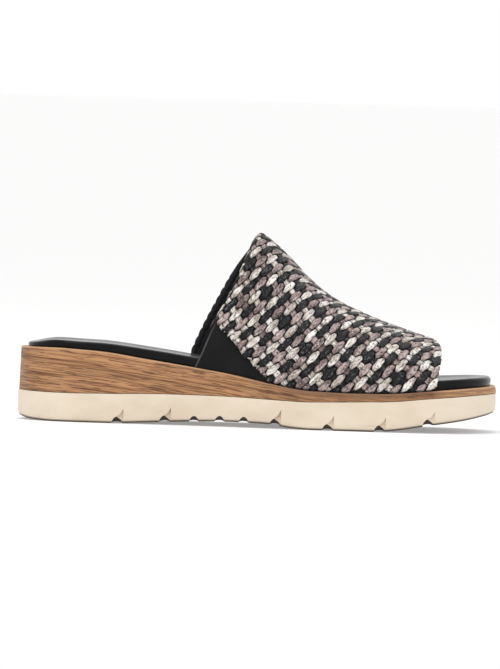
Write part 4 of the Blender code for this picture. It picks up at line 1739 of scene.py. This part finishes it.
@dataclass
class CollarEdge:
    """Rolled black binding on the far side of the collar, and the lining's thin edge at the near side's top,
    painted pale as a highlight.
    """

    upper: UpperForm
    radius: float = 0.0012
    bulge: float = 0.42
    pitch: float = 0.0062
    smooth_length: float = 0.043
    overlap: float = 0.004
    drop: float = -0.0009
    inset: float = 0.0016
    gather_length: float = 0.006
    gather_power: float = 0.6
    gather_middle: float = 0.6
    twist: float = 0.0012
    taper_length: float = 0.006
    taper_least: float = 0.35
    depth: float = 1.2
    lining_edge_radius: float = 0.00045
    lining_edge_back: float = 0.0003
    lining_edge_length: float = 0.036
    sides: int = 14
    station: float = 0.0006

    def _roll(self, name: str, first: float, last: float) -> tuple[bpy.types.Object, Array, Array, Array]:
        """Tube to be laid along the collar between two distances round it, and its section's coordinates."""
        stations = math.ceil((last - first) / self.station)
        piece = Bench.tube(name, self.sides, stations)
        points = Bench.coordinates(piece)
        return piece, first + (points[:, 2] + 0.5) * (last - first), points[:, 0], points[:, 1]

    def _binding(self) -> bpy.types.Object:
        """Binding from the collar's peak down its far side, smooth at first and then gathered like a rope."""
        upper = self.upper
        last = float(upper.edges[Edge.COLLAR][:, 0].max())
        piece, around, out, up = self._roll("collar_binding", upper.collar_ridge - self.overlap, last)
        down = around - upper.collar_ridge
        gathered = np.clip((down - self.smooth_length) / self.gather_length, 0, 1)
        wave = np.abs(np.sin(math.pi * (down + up * self.twist) / self.pitch)) ** self.gather_power
        swell = 1 + self.bulge * (wave - self.gather_middle) * gathered
        taper = np.clip((down + self.overlap) / self.taper_length, self.taper_least, 1)
        reach = self.radius * swell * taper
        x = upper.edge_x(Edge.COLLAR, around) + self.inset - out * reach * self.depth
        upper.lay(piece, x, around, self.drop + up * reach)
        Bench.smooth(piece, ROLL_CREASE)
        return seat(piece, LINING_LEATHER.dress(), "woven_upper")

    def _pale_lining_edge(self) -> bpy.types.Object:
        """Thin lining edge that shows behind the floats at the top of the near side, painted pale as a
        highlight.
        """
        upper = self.upper
        first = upper.collar_ridge - self.lining_edge_length
        piece, around, out, up = self._roll("collar_lining_edge", first, upper.collar_ridge + self.overlap)
        x = upper.edge_x(Edge.COLLAR, around) - self.lining_edge_back - out * self.lining_edge_radius
        upper.lay(piece, x, around, self.drop + up * self.lining_edge_radius)
        Bench.smooth(piece, ROLL_CREASE)
        return seat(piece, LINING_EDGE_HIGHLIGHT.dress(), "woven_upper")

    def build(self) -> list[bpy.types.Object]:
        """Model and dress both rolls."""
        return [self._binding(), self._pale_lining_edge()]


@dataclass
class Gusset:
    """Black elastic gusset under the weave's lower rear edge, with a thin rolled rear edge painted grey as a
    highlight.
    """

    upper: UpperForm
    sink: float = 0.0006
    wall: float = 0.0012
    tuck_sink: float = 0.0005
    columns: int = 24
    rows: int = 30
    binding: float = 0.00055
    binding_sides: int = 10
    binding_stations: int = 40
    binding_past: float = 0.003
    binding_proud: float = 0.0002

    def _top(self) -> float:
        """Distance round the upper at the gusset's top."""
        return float(self.upper.seam[1][1])

    def build(self) -> list[bpy.types.Object]:
        """Model and dress the panel and its rolled edge."""
        upper = self.upper
        piece, along, share = Bench.sheet("gusset_panel", self.columns, self.rows)
        around = share * self._top()
        start = upper.edge_x(Edge.COLLAR, around)
        end = upper.seam_x(around) + upper.sole.gap
        x = start + (end - start) * along
        height = -self.sink - self.tuck_sink * along**4
        upper.lay(piece, x, around, height)
        Bench.apply(piece, "SOLIDIFY", thickness=self.wall, offset=-1.0)
        Bench.smooth(piece, PANEL_CREASE)
        seat(piece, GUSSET_ELASTIC.dress(), "elastic_gusset", "elastic_gusset")
        return [piece, self._binding()]

    def _binding(self) -> bpy.types.Object:
        """Thin roll along the gusset's rear edge, from the wedge to the weave, grey for a painted highlight.
        """
        upper = self.upper
        piece = Bench.tube("gusset_binding", self.binding_sides, self.binding_stations)
        points = Bench.coordinates(piece)
        around = (points[:, 2] + 0.5) * (self._top() + self.binding_past)
        x = upper.edge_x(Edge.COLLAR, around) + points[:, 0] * self.binding
        height = -self.sink - self.wall / 2 + points[:, 1] * (self.wall / 2 + self.binding_proud)
        upper.lay(piece, x, around, height)
        Bench.smooth(piece, ROLL_CREASE)
        return seat(piece, GUSSET_EDGE_HIGHLIGHT.dress(), "elastic_gusset")


@dataclass(frozen=True)
class Lamp:
    """Square soft light, in metres and watts."""

    name: str
    place: Triple
    size: float
    power: float


@dataclass
class Studio:
    """Pale floor, soft light and the camera at the photo's angle."""

    frame_high: float = 0.3555
    target: Triple = (0.0913, -0.045, 0.0499)
    distance: float = 5.0
    elevation: float = math.radians(1.75)
    roll: float = math.radians(1.72)
    sensor: float = 36.0
    clip: Span = (0.05, 200.0)
    floor_size: float = 60.0
    floor_colour: Colour = (0.66, 0.66, 0.66, 1.0)
    glow: Colour = (1.0, 0.98, 0.97, 1.0)
    glow_strength: float = 0.3
    sky: Colour = (1.0, 1.0, 1.0, 1.0)
    lamps: tuple[Lamp, ...] = (
        Lamp("key", (-0.5, -1.1, 1.1), 0.8, 5.0),
        Lamp("fill", (0.9, -1.3, 0.5), 1.0, 1.5),
        Lamp("top", (0.1, 0.2, 1.4), 1.0, 5.0),
    )

    @staticmethod
    def _stand(name: str, data: bpy.types.ID, place: Vector, turn: Quaternion) -> bpy.types.Object:
        """Put up a camera or a lamp at its place, turned as it faces."""
        made = bpy.data.objects.new(name, data)
        bpy.context.scene.collection.objects.link(made)
        made.location = place
        made.rotation_mode = "QUATERNION"
        made.rotation_quaternion = turn
        return made

    def _camera(self) -> None:
        """Long lens on the outer side of the shoe, rolled as the photo is."""
        data = bpy.data.cameras.new("camera")
        data.sensor_width = self.sensor
        data.lens = self.sensor * self.distance / self.frame_high
        data.clip_start, data.clip_end = self.clip
        back = Vector((0.0, -math.cos(self.elevation), math.sin(self.elevation)))
        turn = (-back).to_track_quat("-Z", "Y") @ Quaternion((0.0, 0.0, 1.0), self.roll)
        camera = self._stand("camera", data, Vector(self.target) + back * self.distance, turn)
        bpy.context.scene.camera = camera

    def _light(self, lamp: Lamp) -> None:
        """Put up a lamp that faces the shoe."""
        data = bpy.data.lights.new(lamp.name, "AREA")
        data.size = lamp.size
        data.energy = lamp.power
        place = Vector(lamp.place)
        self._stand(lamp.name, data, place, (Vector(self.target) - place).to_track_quat("-Z", "Y"))

    def _floor(self) -> None:
        """Wide pale floor, with a faint glow of its own."""
        Bench.clear_selection()
        bpy.ops.mesh.primitive_plane_add(size=self.floor_size)
        floor = Bench.take("floor")
        material = Palette("pale_floor").finish(
            base_color=self.floor_colour,
            roughness=0.9,
            specular_ior_level=0.1,
            emission_color=self.glow,
            emission_strength=self.glow_strength,
        )
        floor.data.materials.append(material)

    def build(self) -> None:
        """Set up the camera, the floor, the lamps and the sky."""
        self._camera()
        self._floor()
        for lamp in self.lamps:
            self._light(lamp)
        scene = bpy.context.scene
        world = bpy.data.worlds.new("sky")
        world.use_nodes = True
        background = world.node_tree.nodes["Background"]
        background.inputs["Color"].default_value = self.sky
        background.inputs["Strength"].default_value = 1.0
        scene.world = world
        scene.view_settings.view_transform = "Standard"


def main() -> None:
    """Build the shoe from the floor up."""
    logging.basicConfig(level=logging.INFO, format="%(message)s")
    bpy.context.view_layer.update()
    sole = SoleForm()
    upper = UpperForm(sole)
    Studio().build()
    made = [Outsole(sole).build(), Wedge(sole).build(), Insole(upper).build()]
    made += Weave(upper).build()
    made.append(Lining(upper).build())
    made += CollarEdge(upper).build()
    made += Gusset(upper).build()
    for piece in made:
        logging.info("%s: %d faces", piece.name, len(piece.data.polygons))


if __name__ == "__main__":
    main()
